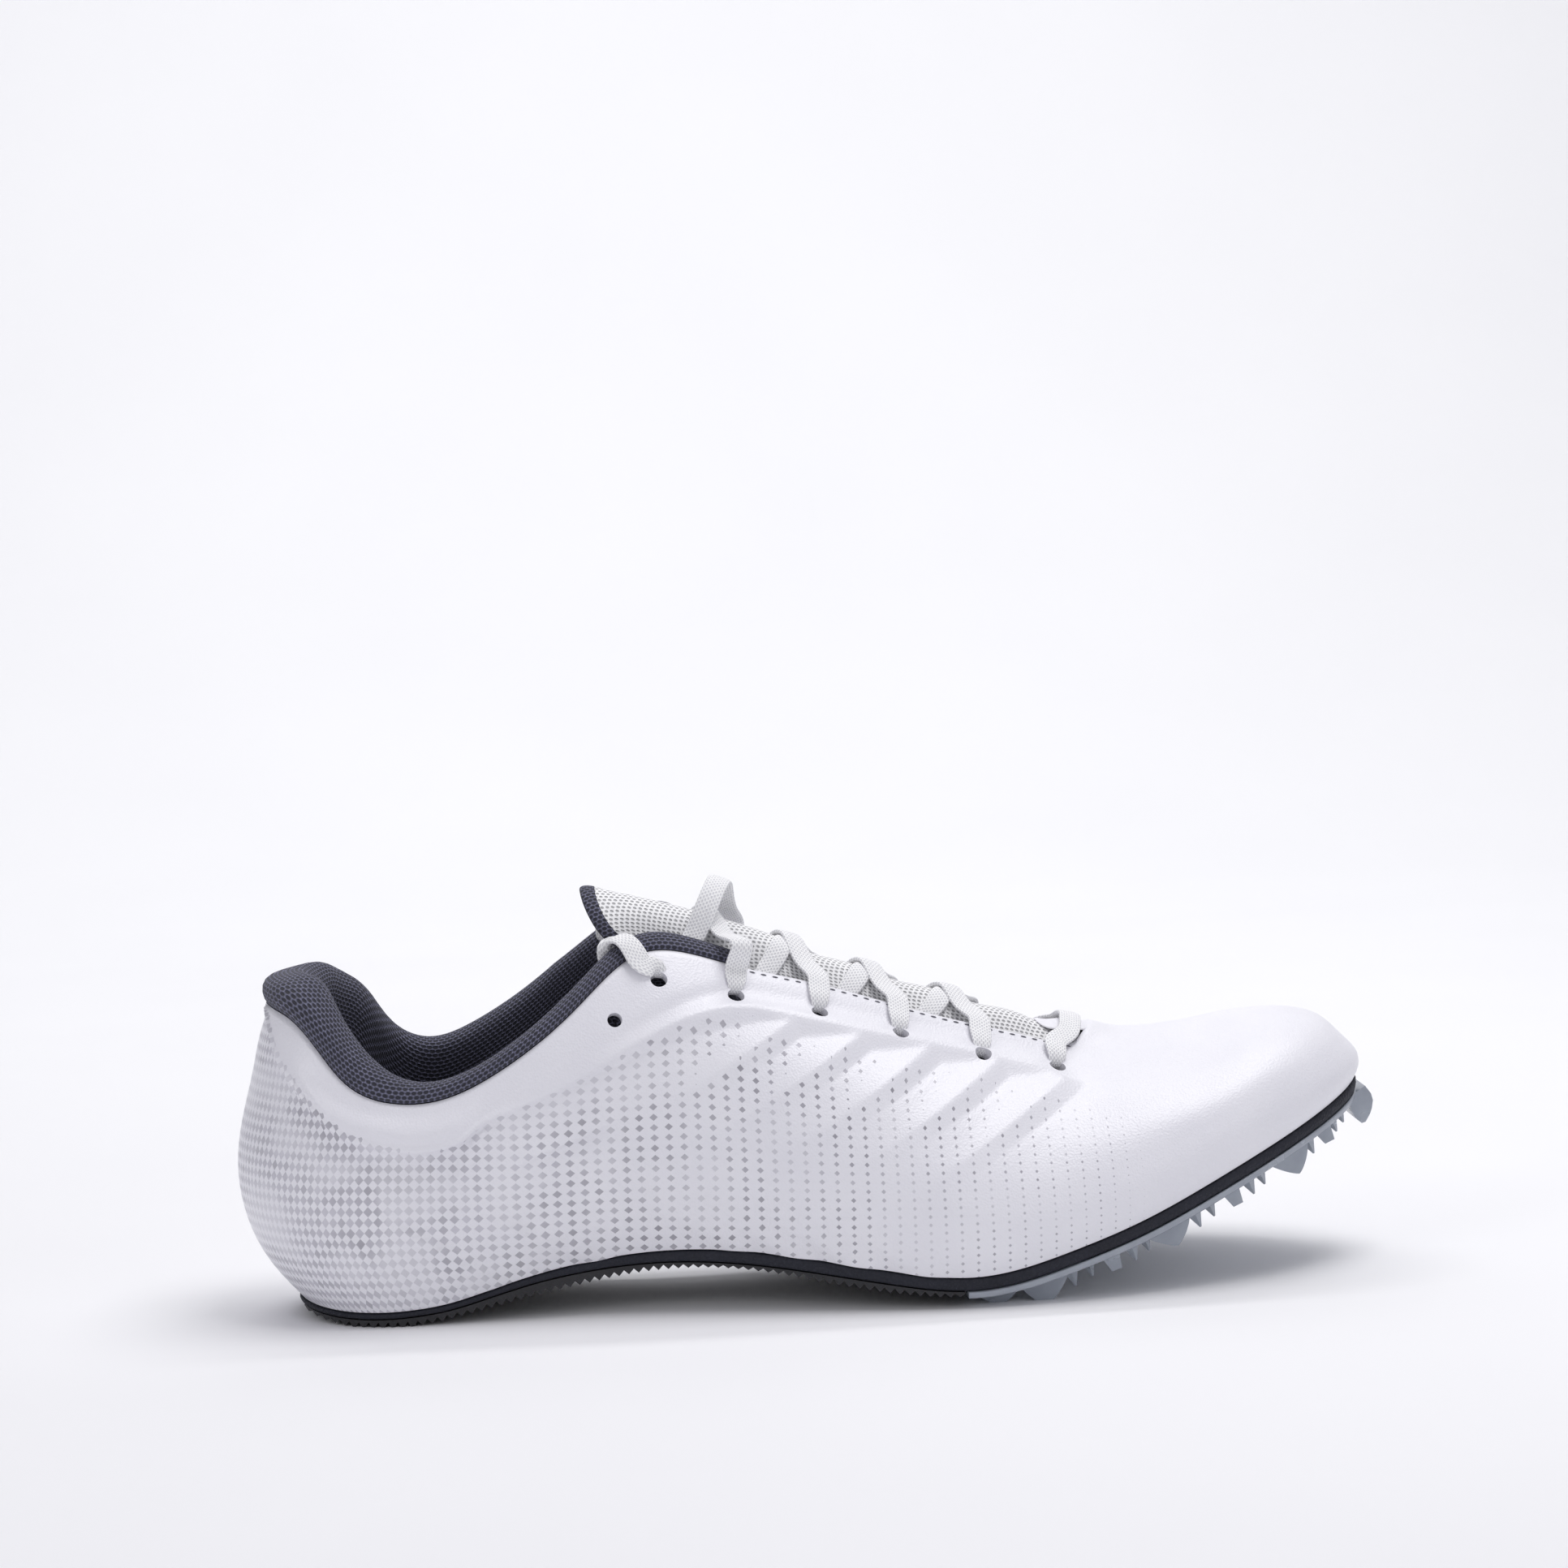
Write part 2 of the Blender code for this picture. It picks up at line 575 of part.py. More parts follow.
def outline(station, side, grow):
    """Point of the sole's edge, moved outwards by grow."""
    reach = 0.003
    before = max(station - reach, HEEL_START)
    after = min(station + reach, TOE_END)
    run = sole_point(after, side)[:2] - sole_point(before, side)[:2]
    run /= max(np.linalg.norm(run), 1e-9)
    outward = np.array((run[1], -run[0])) * (-side)
    if station <= HEEL_START + 1e-9:
        outward = np.array((-1.0, 0.0))
    if station >= TOE_END - 1e-9:
        outward = np.array((1.0, 0.0))
    return sole_point(station, side)[:2] + outward * grow


def sole_slope(station):
    reach = 0.004
    rise = sole_edge(min(station + reach, TOE_END)) - sole_edge(max(station - reach, HEEL_START))
    return rise / (LENGTH * 2 * reach)


def down(station, thickness):
    """Vertical depth of a layer of this thickness on the sloping sole."""
    return thickness * math.sqrt(1 + min(sole_slope(station), 0.6) ** 2)


def midsole_thick(station):
    share = smooth_step((station - 0.16) / 0.3)
    return down(station, MIDSOLE_HEEL + (MIDSOLE_FORE - MIDSOLE_HEEL) * share)


def slab_rings(stations, top_of, bottom_of, grow_top, grow_bottom):
    """Cross rings of a sole layer: across its top from lateral to medial, then back across its underside."""
    rings = []
    for station in stations:
        ring = []
        for grow, height, order in ((grow_top, top_of, (0, 1 / 3, 2 / 3, 1)), (grow_bottom, bottom_of, (1, 2 / 3, 1 / 3, 0))):
            lateral, medial = outline(station, -1, grow), outline(station, 1, grow)
            for share in order:
                flat = lateral + (medial - lateral) * share
                ring.append((flat[0], flat[1], height(station)))
        rings.append(ring)
    return rings


def make_midsole(parts):
    top = lambda s: sole_edge(s) - GAP
    bottom = lambda s: top(s) - midsole_thick(s)
    rings = slab_rings(station_list(STATIONS), top, bottom, MIDSOLE_LIP, 0.0)
    midsole = make_object("midsole", loft("midsole", rings, caps=False), parts, "foam_black")
    smooth_shade(midsole, 35)
    return midsole


def make_insole(parts):
    bottom = lambda s: sole_edge(s)
    top = lambda s: bottom(s) + INSOLE_THICK
    inset = -(WALL + GAP + 0.4 * MM)
    stations = station_list(STATIONS)[1:-1]
    rings = slab_rings(stations, top, bottom, inset, inset)
    insole = make_object("insole", loft("insole", rings), parts, "lining_grey")
    smooth_shade(insole, 35)
    return insole


def rib_tips(station):
    """Height of the rubber ribs' tips: the sole's stack below its edge, cut off flat at the floor."""
    return max(sole_edge(station) - TOE_SPRING * table(RUBBER_STACK, "thick", station), 0.0)


def make_rubber_outsole(parts):
    """Rubber under the heel and the arch, with ribs across it that show as teeth along its side."""
    start, end = HEEL_START + 0.003, PLATE_START
    count = round((end - start) * LENGTH / RIB_PITCH)
    half_rib = (end - start) / count / 2
    stations, heights = [start], [rib_tips(start)]
    for i in range(count):
        tip = start + (2 * i + 1) * half_rib
        root = min(tip + half_rib, end)
        tip_width = 0.3 * half_rib
        for station in ((tip - tip_width, tip + tip_width) if rib_tips(tip) == 0 else (tip,)):
            stations.append(station)
            heights.append(rib_tips(tip))
        stations.append(root)
        heights.append(rib_tips(root) + RIB_HEIGHT)
    heights[0] += RIB_HEIGHT * 0.6
    rings = []
    for station, bottom in zip(stations, heights):
        top = sole_edge(station) - GAP - midsole_thick(station) - GAP
        lateral, medial = outline(station, -1, -0.2 * MM), outline(station, 1, -0.2 * MM)
        under = min(bottom, top - 0.4 * MM)
        rings.append([(*lateral, top), (*medial, top), (*medial, under), (*lateral, under)])
    outsole = make_object("rubber_outsole", loft("rubber_outsole", rings), parts, "rubber_black")
    return outsole


def plate_top(station):
    return sole_edge(station) - GAP - midsole_thick(station) - GAP


def plate_bottom(station):
    return plate_top(station) - down(station, PLATE_THICK)


# Tread of the spike plate. Stations are shares of LENGTH, and across is the share of the half width on that side
FINS = (
    # station, across, length, height
    (0.644, 0.84, 10.5 * MM, 0),
    (0.684, 0.86, 12.0 * MM, 0),
    (0.792, 0.84, 12.5 * MM, 5.2 * MM),
    (0.905, 0.80, 11.5 * MM, 5.6 * MM),
)
BLOCKS = ((0.742, 0.88), (0.851, 0.86), (0.942, 0.74))
TEETH = ((0.706, 0.90), (0.722, 0.84), (0.759, 0.90), (0.772, 0.82), (0.816, 0.90), (0.83, 0.84), (0.866, 0.88), (0.878, 0.80),
         (0.925, 0.82), (0.952, 0.62), (0.962, 0.42))
INNER_TEETH = ((0.66, 0.3), (0.70, 0.42), (0.74, 0.28), (0.78, 0.42), (0.82, 0.26), (0.86, 0.40), (0.90, 0.25))
SPIKE_WELLS = ((0.664, -0.62), (0.664, 0.60), (0.765, -0.60), (0.765, 0.62), (0.868, -0.52), (0.868, 0.58), (0.93, 0.02))


def plate_frame(station, across):
    """Matrix on the plate's underside: X along the slope to the toe, Z straight out of the plate, downwards."""
    side = -1 if across < 0 else 1
    edge = outline(station, side, 0.0)
    centre = np.array((along(station), centre_line(station)))
    flat = centre + (edge - centre) * abs(across)
    slope = (plate_bottom(station + 0.004) - plate_bottom(station - 0.004)) / (LENGTH * 0.008)
    ahead = Vector((1, 0, slope)).normalized()
    outward = Vector((slope, 0, -1)).normalized()
    turn = Matrix((ahead, outward.cross(ahead), outward)).transposed().to_4x4()
    return Matrix.Translation((flat[0], flat[1], plate_bottom(station))) @ turn


def prism(form, profile, thickness, matrix):
    """Adds a flat profile in X and Z, given a thickness along Y."""
    lower = [form.verts.new(matrix @ Vector((x, -thickness / 2, z))) for x, z in profile]
    upper = [form.verts.new(matrix @ Vector((x, thickness / 2, z))) for x, z in profile]
    form.faces.new(lower)
    form.faces.new(upper[::-1])
    for i in range(len(profile)):
        j = (i + 1) % len(profile)
        form.faces.new((lower[j], lower[i], upper[i], upper[j]))


def fin_profile(length, height):
    """Half round fin with a blunt tip."""
    turns = np.linspace(0, math.pi, 8)
    arc = [(-length / 2 * math.cos(t), height * math.sin(t) ** 0.8) for t in turns]
    return [(-length / 2, -TREAD_SINK)] + arc + [(length / 2, -TREAD_SINK)]


def make_tread():
    """Fins, blocks and teeth that stand out of the plate, as one mesh of separate closed shapes."""
    form = bmesh.new()
    for side in (-1, 1):
        for station, across, length, height in FINS:
            frame = plate_frame(station, side * across)
            if height:
                prism(form, fin_profile(length, height), 2.2 * MM, frame)
                continue
            foot = frame.translation.z
            upright = Matrix.Translation(frame.translation) @ Matrix.Rotation(math.pi, 4, "X")
            slope = sole_slope(station)
            level = [(x, min(z - slope * x, foot)) for x, z in fin_profile(length, foot * 1.15)]
            prism(form, level, 2.6 * MM, upright)
        for station, across in BLOCKS:
            block = [(-2.6 * MM, -TREAD_SINK), (-1.3 * MM, 4.0 * MM), (1.3 * MM, 4.0 * MM), (1.9 * MM, -TREAD_SINK)]
            prism(form, block, 3.4 * MM, plate_frame(station, side * across))
        for station, across in TEETH + INNER_TEETH:
            tall = 3.4 * MM
            frame = plate_frame(station, side * across) @ Matrix.Translation((0, 0, tall / 2 - TREAD_SINK))
            bmesh.ops.create_cone(form, cap_ends=True, segments=4, radius1=1.7 * MM, radius2=0.25 * MM,
                                  depth=tall, matrix=frame)
    bumper = ((-5.5, -0.9), (-4.0, 3.6), (0.5, 5.6), (3.2, 4.6), (4.4, 1.2), (4.2, -0.9))
    prism(form, [(x * MM, z * MM) for x, z in bumper], 13 * MM, plate_frame(TOE_END - 0.004, 0.0))
    for station, across in SPIKE_WELLS:
        depth = SPIKE_BOSS_HEIGHT + TREAD_SINK
        frame = plate_frame(station, across) @ Matrix.Translation((0, 0, depth / 2 - TREAD_SINK))
        bmesh.ops.create_cone(form, cap_ends=True, segments=10, radius1=SPIKE_BOSS_RADIUS, radius2=SPIKE_BOSS_RADIUS * 0.86,
                              depth=depth, matrix=frame)
    bmesh.ops.recalc_face_normals(form, faces=form.faces)
    mesh = bpy.data.meshes.new("plate_tread")
    form.to_mesh(mesh)
    form.free()
    return mesh


def make_spike_plate(parts, cutters):
    """Moulded plate under the forefoot, with its tread joined on and a blind well for each spike."""
    stations = [s for s in station_list(44) if s > PLATE_START + 0.012]
    stations = [PLATE_START + 0.003] + stations
    rings = slab_rings(stations, plate_top, plate_bottom, 0.3 * MM, 0.0)
    plate = make_object("spike_plate", loft("spike_plate", rings), parts, "plate_ice")
    tread = make_object("plate_tread", make_tread(), cutters)
    wells = bmesh.new()
    for station, across in SPIKE_WELLS:
        depth = 2 * (SPIKE_BOSS_HEIGHT + 0.3 * MM)
        frame = plate_frame(station, across) @ Matrix.Translation((0, 0, SPIKE_BOSS_HEIGHT))
        bmesh.ops.create_cone(wells, cap_ends=True, segments=10, radius1=SPIKE_WELL_RADIUS, radius2=SPIKE_WELL_RADIUS,
                              depth=depth, matrix=frame)
    well_mesh = bpy.data.meshes.new("spike_wells")
    wells.to_mesh(well_mesh)
    wells.free()
    drill = make_object("spike_wells", well_mesh, cutters)
    for helper in (tread, drill):
        helper.display_type = "WIRE"
        helper.hide_render = True
    boolean(plate, tread, "UNION").use_self = True
    boolean(plate, drill, "DIFFERENCE")
    return plate


def ribbon_rings(path, faces_up, width, thickness):
    """Flat rings of a lace along a path, with its face turned up along the given directions."""
    path = np.asarray(path)
    rings = []
    for i, point in enumerate(path):
        run = path[min(i + 1, len(path) - 1)] - path[max(i - 1, 0)]
        run /= np.linalg.norm(run)
        across = np.cross(faces_up[i], run)
        across /= np.linalg.norm(across)
        up = np.cross(run, across)
        corners = ((-0.5, 0), (-0.36, -0.5), (0.36, -0.5), (0.5, 0), (0.36, 0.5), (-0.36, 0.5))
        rings.append([point + across * width * a + up * thickness * b for a, b in corners])
    return rings


def eyelet_place(row, side):
    """Place on a section of a laced eyelet's upper rim."""
    inset = EYELET_INSET * EYELETS["inset"][row + 1] - EYELET_RADIUS
    return place_below_top(LACED[row], side, inset)[0]


def lace_crossing(row, side, lift):
    """Route of the lace from an eyelet over the eyestay's edge, and over the tongue towards the next row."""
    start, end = LACED[row], LACED[row - 1]
    across = end + (start - end) * 0.42
    rest = LACE_THICK / 2 + GAP
    near, far = (LATERAL_TOP, MEDIAL_TOP) if side < 0 else (MEDIAL_TOP, LATERAL_TOP)
    roll = COLLAR_ROLL * table(COLLAR, "roll", start) + 0.8 * MM if start <= COLLAR_END else 0.0
    on_edge = rest + OVERLAY_STEP + GAP
    points, ups = [], []
    hole = eyelet_place(row, side)
    for share in (0.0, 0.55):
        place = hole + (near - hole) * share
        out = normals(start, [place])[0]
        points.append(last(start, [place])[0] + out * on_edge)
        ups.append(out)
    for share in np.linspace(0.0, 0.84, 9):
        station = start + (across - start) * share
        place = near + (far - near) * share
        out = normals(station, [place])[0]
        on_tongue = rest - tongue_depth(station, place) + 0.3 * MM
        settle = smooth_step((share - 0.14) / 0.18 if roll else share / 0.3)
        arch = math.sin(math.pi * share / 0.84)
        height = on_edge + roll + (on_tongue - on_edge - roll) * settle + lift * arch
        points.append(last(station, [place])[0] + out * height)
        ups.append(out)
    return np.array(points), np.array(ups)


def lace_piece(name, path, ups, parts):
    return make_object(name, loft(name, ribbon_rings(path, ups, LACE_WIDTH, LACE_THICK)), parts, "lace_white")


def make_lace(parts, cutters):
    """Flat lace: the bar at the toe, a crossing between two rows of eyelets each, and a slack one at the top."""
    front = len(LACED) - 1
    rest = LACE_THICK / 2 + GAP + OVERLAY_STEP + 0.2 * MM
    places = np.linspace(eyelet_place(front, -1), eyelet_place(front, 1), 9)
    ups = [normals(LACED[front], [place])[0] for place in places]
    bar = [last(LACED[front], [place])[0] + up * rest for place, up in zip(places, ups)]
    lace_piece("lace_bar", bar, ups, parts)
    for row in range(2, front):
        crossing = lace_piece(f"lace_crossing_{row}", *lace_crossing(row, 1, LACE_LIFT), parts)
        under = lace_piece(f"lace_under_{row}", *lace_crossing(row, -1, 0.0), cutters)
        under.display_type = "WIRE"
        under.hide_render = True
        boolean(crossing, under, "UNION")
    lace_piece("lace_top_crossing", *lace_crossing(1, -1, 0.0), parts)
    lace_piece("lace_slack", *lace_crossing(1, 1, SLACK_LIFT), parts)


def make_lace_ends(parts):
    for side, route in LACE_ENDS.items():
        curve = bpy.data.curves.new(f"lace_end_{side}", "CURVE")
        curve.dimensions = "3D"
        curve.bevel_depth = LACE_END_RADIUS
        curve.bevel_resolution = 1
        curve.use_fill_caps = True
        line = curve.splines.new("POLY")
        line.points.add(len(route) - 1)
        for knot, place in zip(line.points, route):
            knot.co = (*(value * MM for value in place), 1)
        make_object(f"lace_end_{side}", curve, parts, "lace_white")


def centre_over_floor(*collections):
    """Moves everything so that the origin lies under the middle of the parts that aren't loose lace."""
    graph = bpy.context.evaluated_depsgraph_get()
    corners = []
    for thing in collections[0].objects:
        if not thing.name.startswith("lace_end"):
            corners += [v.co for v in thing.evaluated_get(graph).to_mesh().vertices]
    low, high = (Vector(pick(c[i] for c in corners) for i in range(3)) for pick in (min, max))
    middle = (low + high) / 2
    for collection in collections:
        for thing in collection.objects:
            thing.location = -middle.x, -middle.y, -low.z


def clear_scene():
    for thing in list(bpy.data.objects):
        bpy.data.objects.remove(thing)


clear_scene()
MATERIAL_OF = {name: make_material(name) for name in MATERIALS}
PARTS = fresh_collection("track_spike_shoe")
CUTTERS = fresh_collection("cutters")
make_upper(PARTS, CUTTERS)
make_collar(PARTS)
make_tongue(PARTS)
make_midsole(PARTS)
make_insole(PARTS)
make_rubber_outsole(PARTS)
make_spike_plate(PARTS, CUTTERS)
make_lace(PARTS, CUTTERS)
make_lace_ends(PARTS)
centre_over_floor(PARTS, CUTTERS)
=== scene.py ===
# %% [markdown]
# # A track spike shoe
# This lesson dresses a right-foot track spike: a thin moulded upper with a printed lattice of diamonds, a
# padded knit collar, an air mesh tongue, a flat lace, a black foam midsole, a ribbed rubber outsole and a
# frosted spike plate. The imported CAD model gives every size. Each soft piece is rebuilt here in finer mesh on
# the same last, which is the foot-shaped form that a shoemaker pulls the upper over.

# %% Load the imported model
import math

import bmesh
import bpy
import numpy as np
from mathutils import Matrix, Vector
from mathutils.bvhtree import BVHTree


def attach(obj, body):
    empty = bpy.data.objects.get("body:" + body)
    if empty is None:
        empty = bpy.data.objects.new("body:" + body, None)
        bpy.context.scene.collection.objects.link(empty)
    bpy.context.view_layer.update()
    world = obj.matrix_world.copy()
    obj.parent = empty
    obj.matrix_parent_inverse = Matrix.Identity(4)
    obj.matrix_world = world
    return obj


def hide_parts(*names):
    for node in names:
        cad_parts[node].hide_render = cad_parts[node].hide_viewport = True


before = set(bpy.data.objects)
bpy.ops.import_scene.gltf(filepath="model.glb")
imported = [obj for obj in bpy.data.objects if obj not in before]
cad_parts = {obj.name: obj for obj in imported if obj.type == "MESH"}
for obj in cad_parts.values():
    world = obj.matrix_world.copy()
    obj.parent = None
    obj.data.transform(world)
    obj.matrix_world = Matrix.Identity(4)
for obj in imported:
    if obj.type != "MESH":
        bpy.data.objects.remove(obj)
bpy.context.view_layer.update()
MM = 0.001
BODY = "root"
TO_FRAME = Vector((0.338, -2.434, 0.0)) * MM
print("nodes:", ", ".join(sorted(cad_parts)))

# %% [markdown]
# ## Camera
# The photograph was taken from low down on the lateral side with a long lens, and its picture leans a little.
# The place and angles below put the heel, the toe and both ground contacts where the photograph has them.

# %% Camera
lens = bpy.data.cameras.new("studio_camera")
lens.sensor_width = 36
lens.lens = 91.85
lens.clip_end = 20
camera = bpy.data.objects.new("studio_camera", lens)
camera.location = (-0.0539, -0.98877, 0.19336)
camera.rotation_euler = [math.radians(angle) for angle in (86.0353, 2.3436, -3.0898)]
bpy.context.scene.collection.objects.link(camera)
bpy.context.scene.camera = camera
print("camera stands", round(camera.location.length, 3), "m from the shoe")

# %% [markdown]
# ## Studio
# White goods are shot on a white sweep: a floor that curves up into a wall, so that no horizon shows. Large
# soft lights keep the shadows wide and pale. One sheet of mesh makes the sweep, and area lights and a bright
# sky make the light. The main light hangs over the toe, because the vamp is the brightest place.


# %% Floor, wall and lights
SWEEP_REACH, SWEEP_BEND_START, SWEEP_BEND_RADIUS = 3.0, 0.9, 0.6


def make_sweep():
    """White sheet that lies under the shoe and curves up behind it."""
    start, radius = SWEEP_BEND_START, SWEEP_BEND_RADIUS
    line = [(-SWEEP_REACH, 0.0), (start, 0.0)]
    for turn in np.linspace(0, math.pi / 2, 16)[1:]:
        line.append((start + radius * math.sin(turn), radius - radius * math.cos(turn)))
    line.append((start + radius, SWEEP_REACH))
    rows = [[(x, y, z) for y, z in line] for x in (-SWEEP_REACH, SWEEP_REACH)]
    mesh = bpy.data.meshes.new("studio_sweep")
    count = len(line)
    mesh.from_pydata(rows[0] + rows[1], [], [(i, count + i, count + i + 1, i + 1) for i in range(count - 1)])
    mesh.shade_smooth()
    thing = bpy.data.objects.new("studio_sweep", mesh)
    bpy.context.scene.collection.objects.link(thing)
    return thing


def soft_light(name, place, aim, size, watts, colour):
    """Area light that looks from its place at its aim."""
    light = bpy.data.lights.new(name, "AREA")
    light.shape = "RECTANGLE"
    light.size, light.size_y = size
    light.energy = watts
    light.color = colour
    thing = bpy.data.objects.new(name, light)
    thing.location = place
    thing.rotation_euler = (Vector(aim) - Vector(place)).to_track_quat("-Z", "Y").to_euler()
    bpy.context.scene.collection.objects.link(thing)
    return thing


sweep = make_sweep()
soft_light("top_box", (0.22, -0.06, 0.95), (0.0, 0, 0.03), (0.6, 0.36), 3.9, (1.0, 0.99, 1.0))
soft_light("front_box", (0.75, -0.95, 0.5), (0.05, 0, 0.05), (0.6, 0.4), 1.2, (0.98, 0.98, 1.0))
soft_light("heel_box", (-0.85, -0.8, 0.55), (-0.05, 0, 0.05), (0.4, 0.5), 1.7, (0.99, 0.98, 1.0))
soft_light("wall_box", (0, 0.7, 1.6), (0, 1.6, 0.5), (1.6, 0.4), 14.5, (1.0, 1.0, 1.0))
world = bpy.data.worlds.new("studio_light")
world.use_nodes = True
world.node_tree.nodes["Background"].inputs["Color"].default_value = (0.93, 0.93, 1.0, 1)
world.node_tree.nodes["Background"].inputs["Strength"].default_value = 0.39
bpy.context.scene.world = world
bpy.context.scene.view_settings.view_transform = "Standard"

# %% [markdown]
# ## Small tools for meshes
# The soft pieces are drawn as rings of points, so a few helpers serve them all. Some read a smooth curve
# through a few points, one shuts a row of rings into a closed mesh, and the others keep numbers on a mesh for
# its material, turn its faces outwards, apply its modifiers and place it as an object.


# %% Mesh helpers
def spline(knots, values, at):
    """Natural cubic spline through values at knots, read at one or many places."""
    knots = np.asarray(knots, float)
    values = np.asarray(values, float)
    flat = values.reshape(len(knots), -1)
    step = np.diff(knots)
    size = len(knots)
    system = np.eye(size)
    right = np.zeros((size, flat.shape[1]))
    for i in range(1, size - 1):
        system[i, i - 1 : i + 2] = step[i - 1], 2 * (step[i - 1] + step[i]), step[i]
        right[i] = 6 * ((flat[i + 1] - flat[i]) / step[i] - (flat[i] - flat[i - 1]) / step[i - 1])
    bend = np.linalg.solve(system, right)
    at = np.atleast_1d(np.asarray(at, float))
    cell = np.clip(np.searchsorted(knots, at) - 1, 0, size - 2)
    width = step[cell][:, None]
    after = (at - knots[cell])[:, None] / width
    before = 1 - after
    read = before * flat[cell] + after * flat[cell + 1]
    read += ((before**3 - before) * bend[cell] + (after**3 - after) * bend[cell + 1]) * width**2 / 6
    return read.reshape((len(at),) + values.shape[1:])


def smooth(value):
    """0 below 0, 1 above 1, and a soft S between."""
    value = np.clip(value, 0.0, 1.0)
    return value * value * (3 - 2 * value)


def unit(vectors):
    vectors = np.asarray(vectors, float)
    return vectors / np.maximum(np.linalg.norm(vectors, axis=-1, keepdims=True), 1e-12)


def run_length(points):
    """Distance along a line of points, from 0."""
    steps = np.linalg.norm(np.diff(points, axis=0), axis=1)
    return np.concatenate([[0], np.cumsum(steps)])


def smooth_line(points, count):
    """The points of one smooth curve through a few points, evenly spread."""
    points = np.asarray(points, float)
    steps = np.linalg.norm(np.diff(points[:, :3], axis=0), axis=1)
    knots = np.concatenate([[0], np.cumsum(np.maximum(steps, 1e-6))])
    fine = spline(knots, points, np.linspace(0, knots[-1], 12 * count))
    run = run_length(fine[:, :3])
    return np.stack([np.interp(np.linspace(0, run[-1], count), run, column) for column in fine.T], axis=1)


def ring_mesh(name, rings):
    """Closed mesh through rings of points that all have the same count, with a flat face on both ends."""
    rings = np.asarray(rings)
    rows, count = rings.shape[:2]
    faces = []
    for start in range(0, (rows - 1) * count, count):
        for i in range(count):
            j = (i + 1) % count
            faces.append((start + i, start + j, start + count + j, start + count + i))
    faces += [tuple(range(count))[::-1], tuple((rows - 1) * count + i for i in range(count))]
    mesh = bpy.data.meshes.new(name)
    mesh.from_pydata([tuple(p) for p in rings.reshape(-1, 3)], [], faces)
    return mesh


def add_object(name, mesh, material=None):
    """Object for a mesh drawn round the last's own middle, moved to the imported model's middle."""
    mesh.transform(Matrix.Translation(TO_FRAME))
    thing = bpy.data.objects.new(name, mesh)
    bpy.context.scene.collection.objects.link(thing)
    if material:
        mesh.materials.append(material)
    return thing


def keep_values(mesh, name, values):
    """Writes one number or one vector for each point of the mesh, for a material to read."""
    values = np.asarray(values, np.float32)
    kind = "FLOAT" if values.ndim == 1 else "FLOAT_VECTOR"
    layer = mesh.attributes.new(name, kind, "POINT")
    layer.data.foreach_set("value" if values.ndim == 1 else "vector", values.ravel())


def keep_cloth_place(mesh, rings, column):
    """Keeps the lengths along and round the cloth on rings of points, and gives those along one column."""
    rings = np.asarray(rings)
    along = run_length(rings[:, column])
    around = np.array([run_length(ring) for ring in rings])
    place = [np.repeat(along, rings.shape[1]), around.ravel(), np.zeros(around.size)]
    keep_values(mesh, "cloth_place", np.stack(place, axis=1))
    return along


def apply_modifiers(thing):
    """Makes the object's evaluated mesh its own and removes its modifiers."""
    graph = bpy.context.evaluated_depsgraph_get()
    mesh = bpy.data.meshes.new_from_object(thing.evaluated_get(graph))
    thing.modifiers.clear()
    thing.data = mesh
    return thing


def face_outwards(mesh):
    """Merges doubles, turns all faces outwards and shades them smooth."""
    form = bmesh.new()
    form.from_mesh(mesh)
    bmesh.ops.remove_doubles(form, verts=form.verts, dist=0.004 * MM)
    bmesh.ops.recalc_face_normals(form, faces=form.faces)
    form.to_mesh(mesh)
    form.free()
    mesh.shade_smooth()


TRIAL_LINE = smooth_line([(0, 0, 0), (1, 1, 0), (2, 0, 0)], 20)
print("a smooth line through 3 points has", len(TRIAL_LINE), "points")

# %% [markdown]
# ## The last
# A shoemaker's last is drawn as lines that run from heel to toe: the edge of the sole, the widest line, the
# shoulder, the top line and the ridge. At each station along the shoe a smooth curve joins them across the
# foot. The tables repeat the CAD model's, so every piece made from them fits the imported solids.

# %% Sizes and tables of the last
LENGTH = 285 * MM
BALL_WIDTH = 90 * MM
INSTEP_HEIGHT = 100 * MM
TOE_SPRING = 45 * MM
TOE_SWING = 9 * MM
MEDIAL_COLLAR_RISE = 4.5 * MM
WALL = 1.8 * MM
GAP = 0.3 * MM
HEEL_START, HEEL_ROUND, TOE_ROUND, TOE_END, THROAT_FRONT = 0.049, 0.147, 0.702, 0.982, 0.727

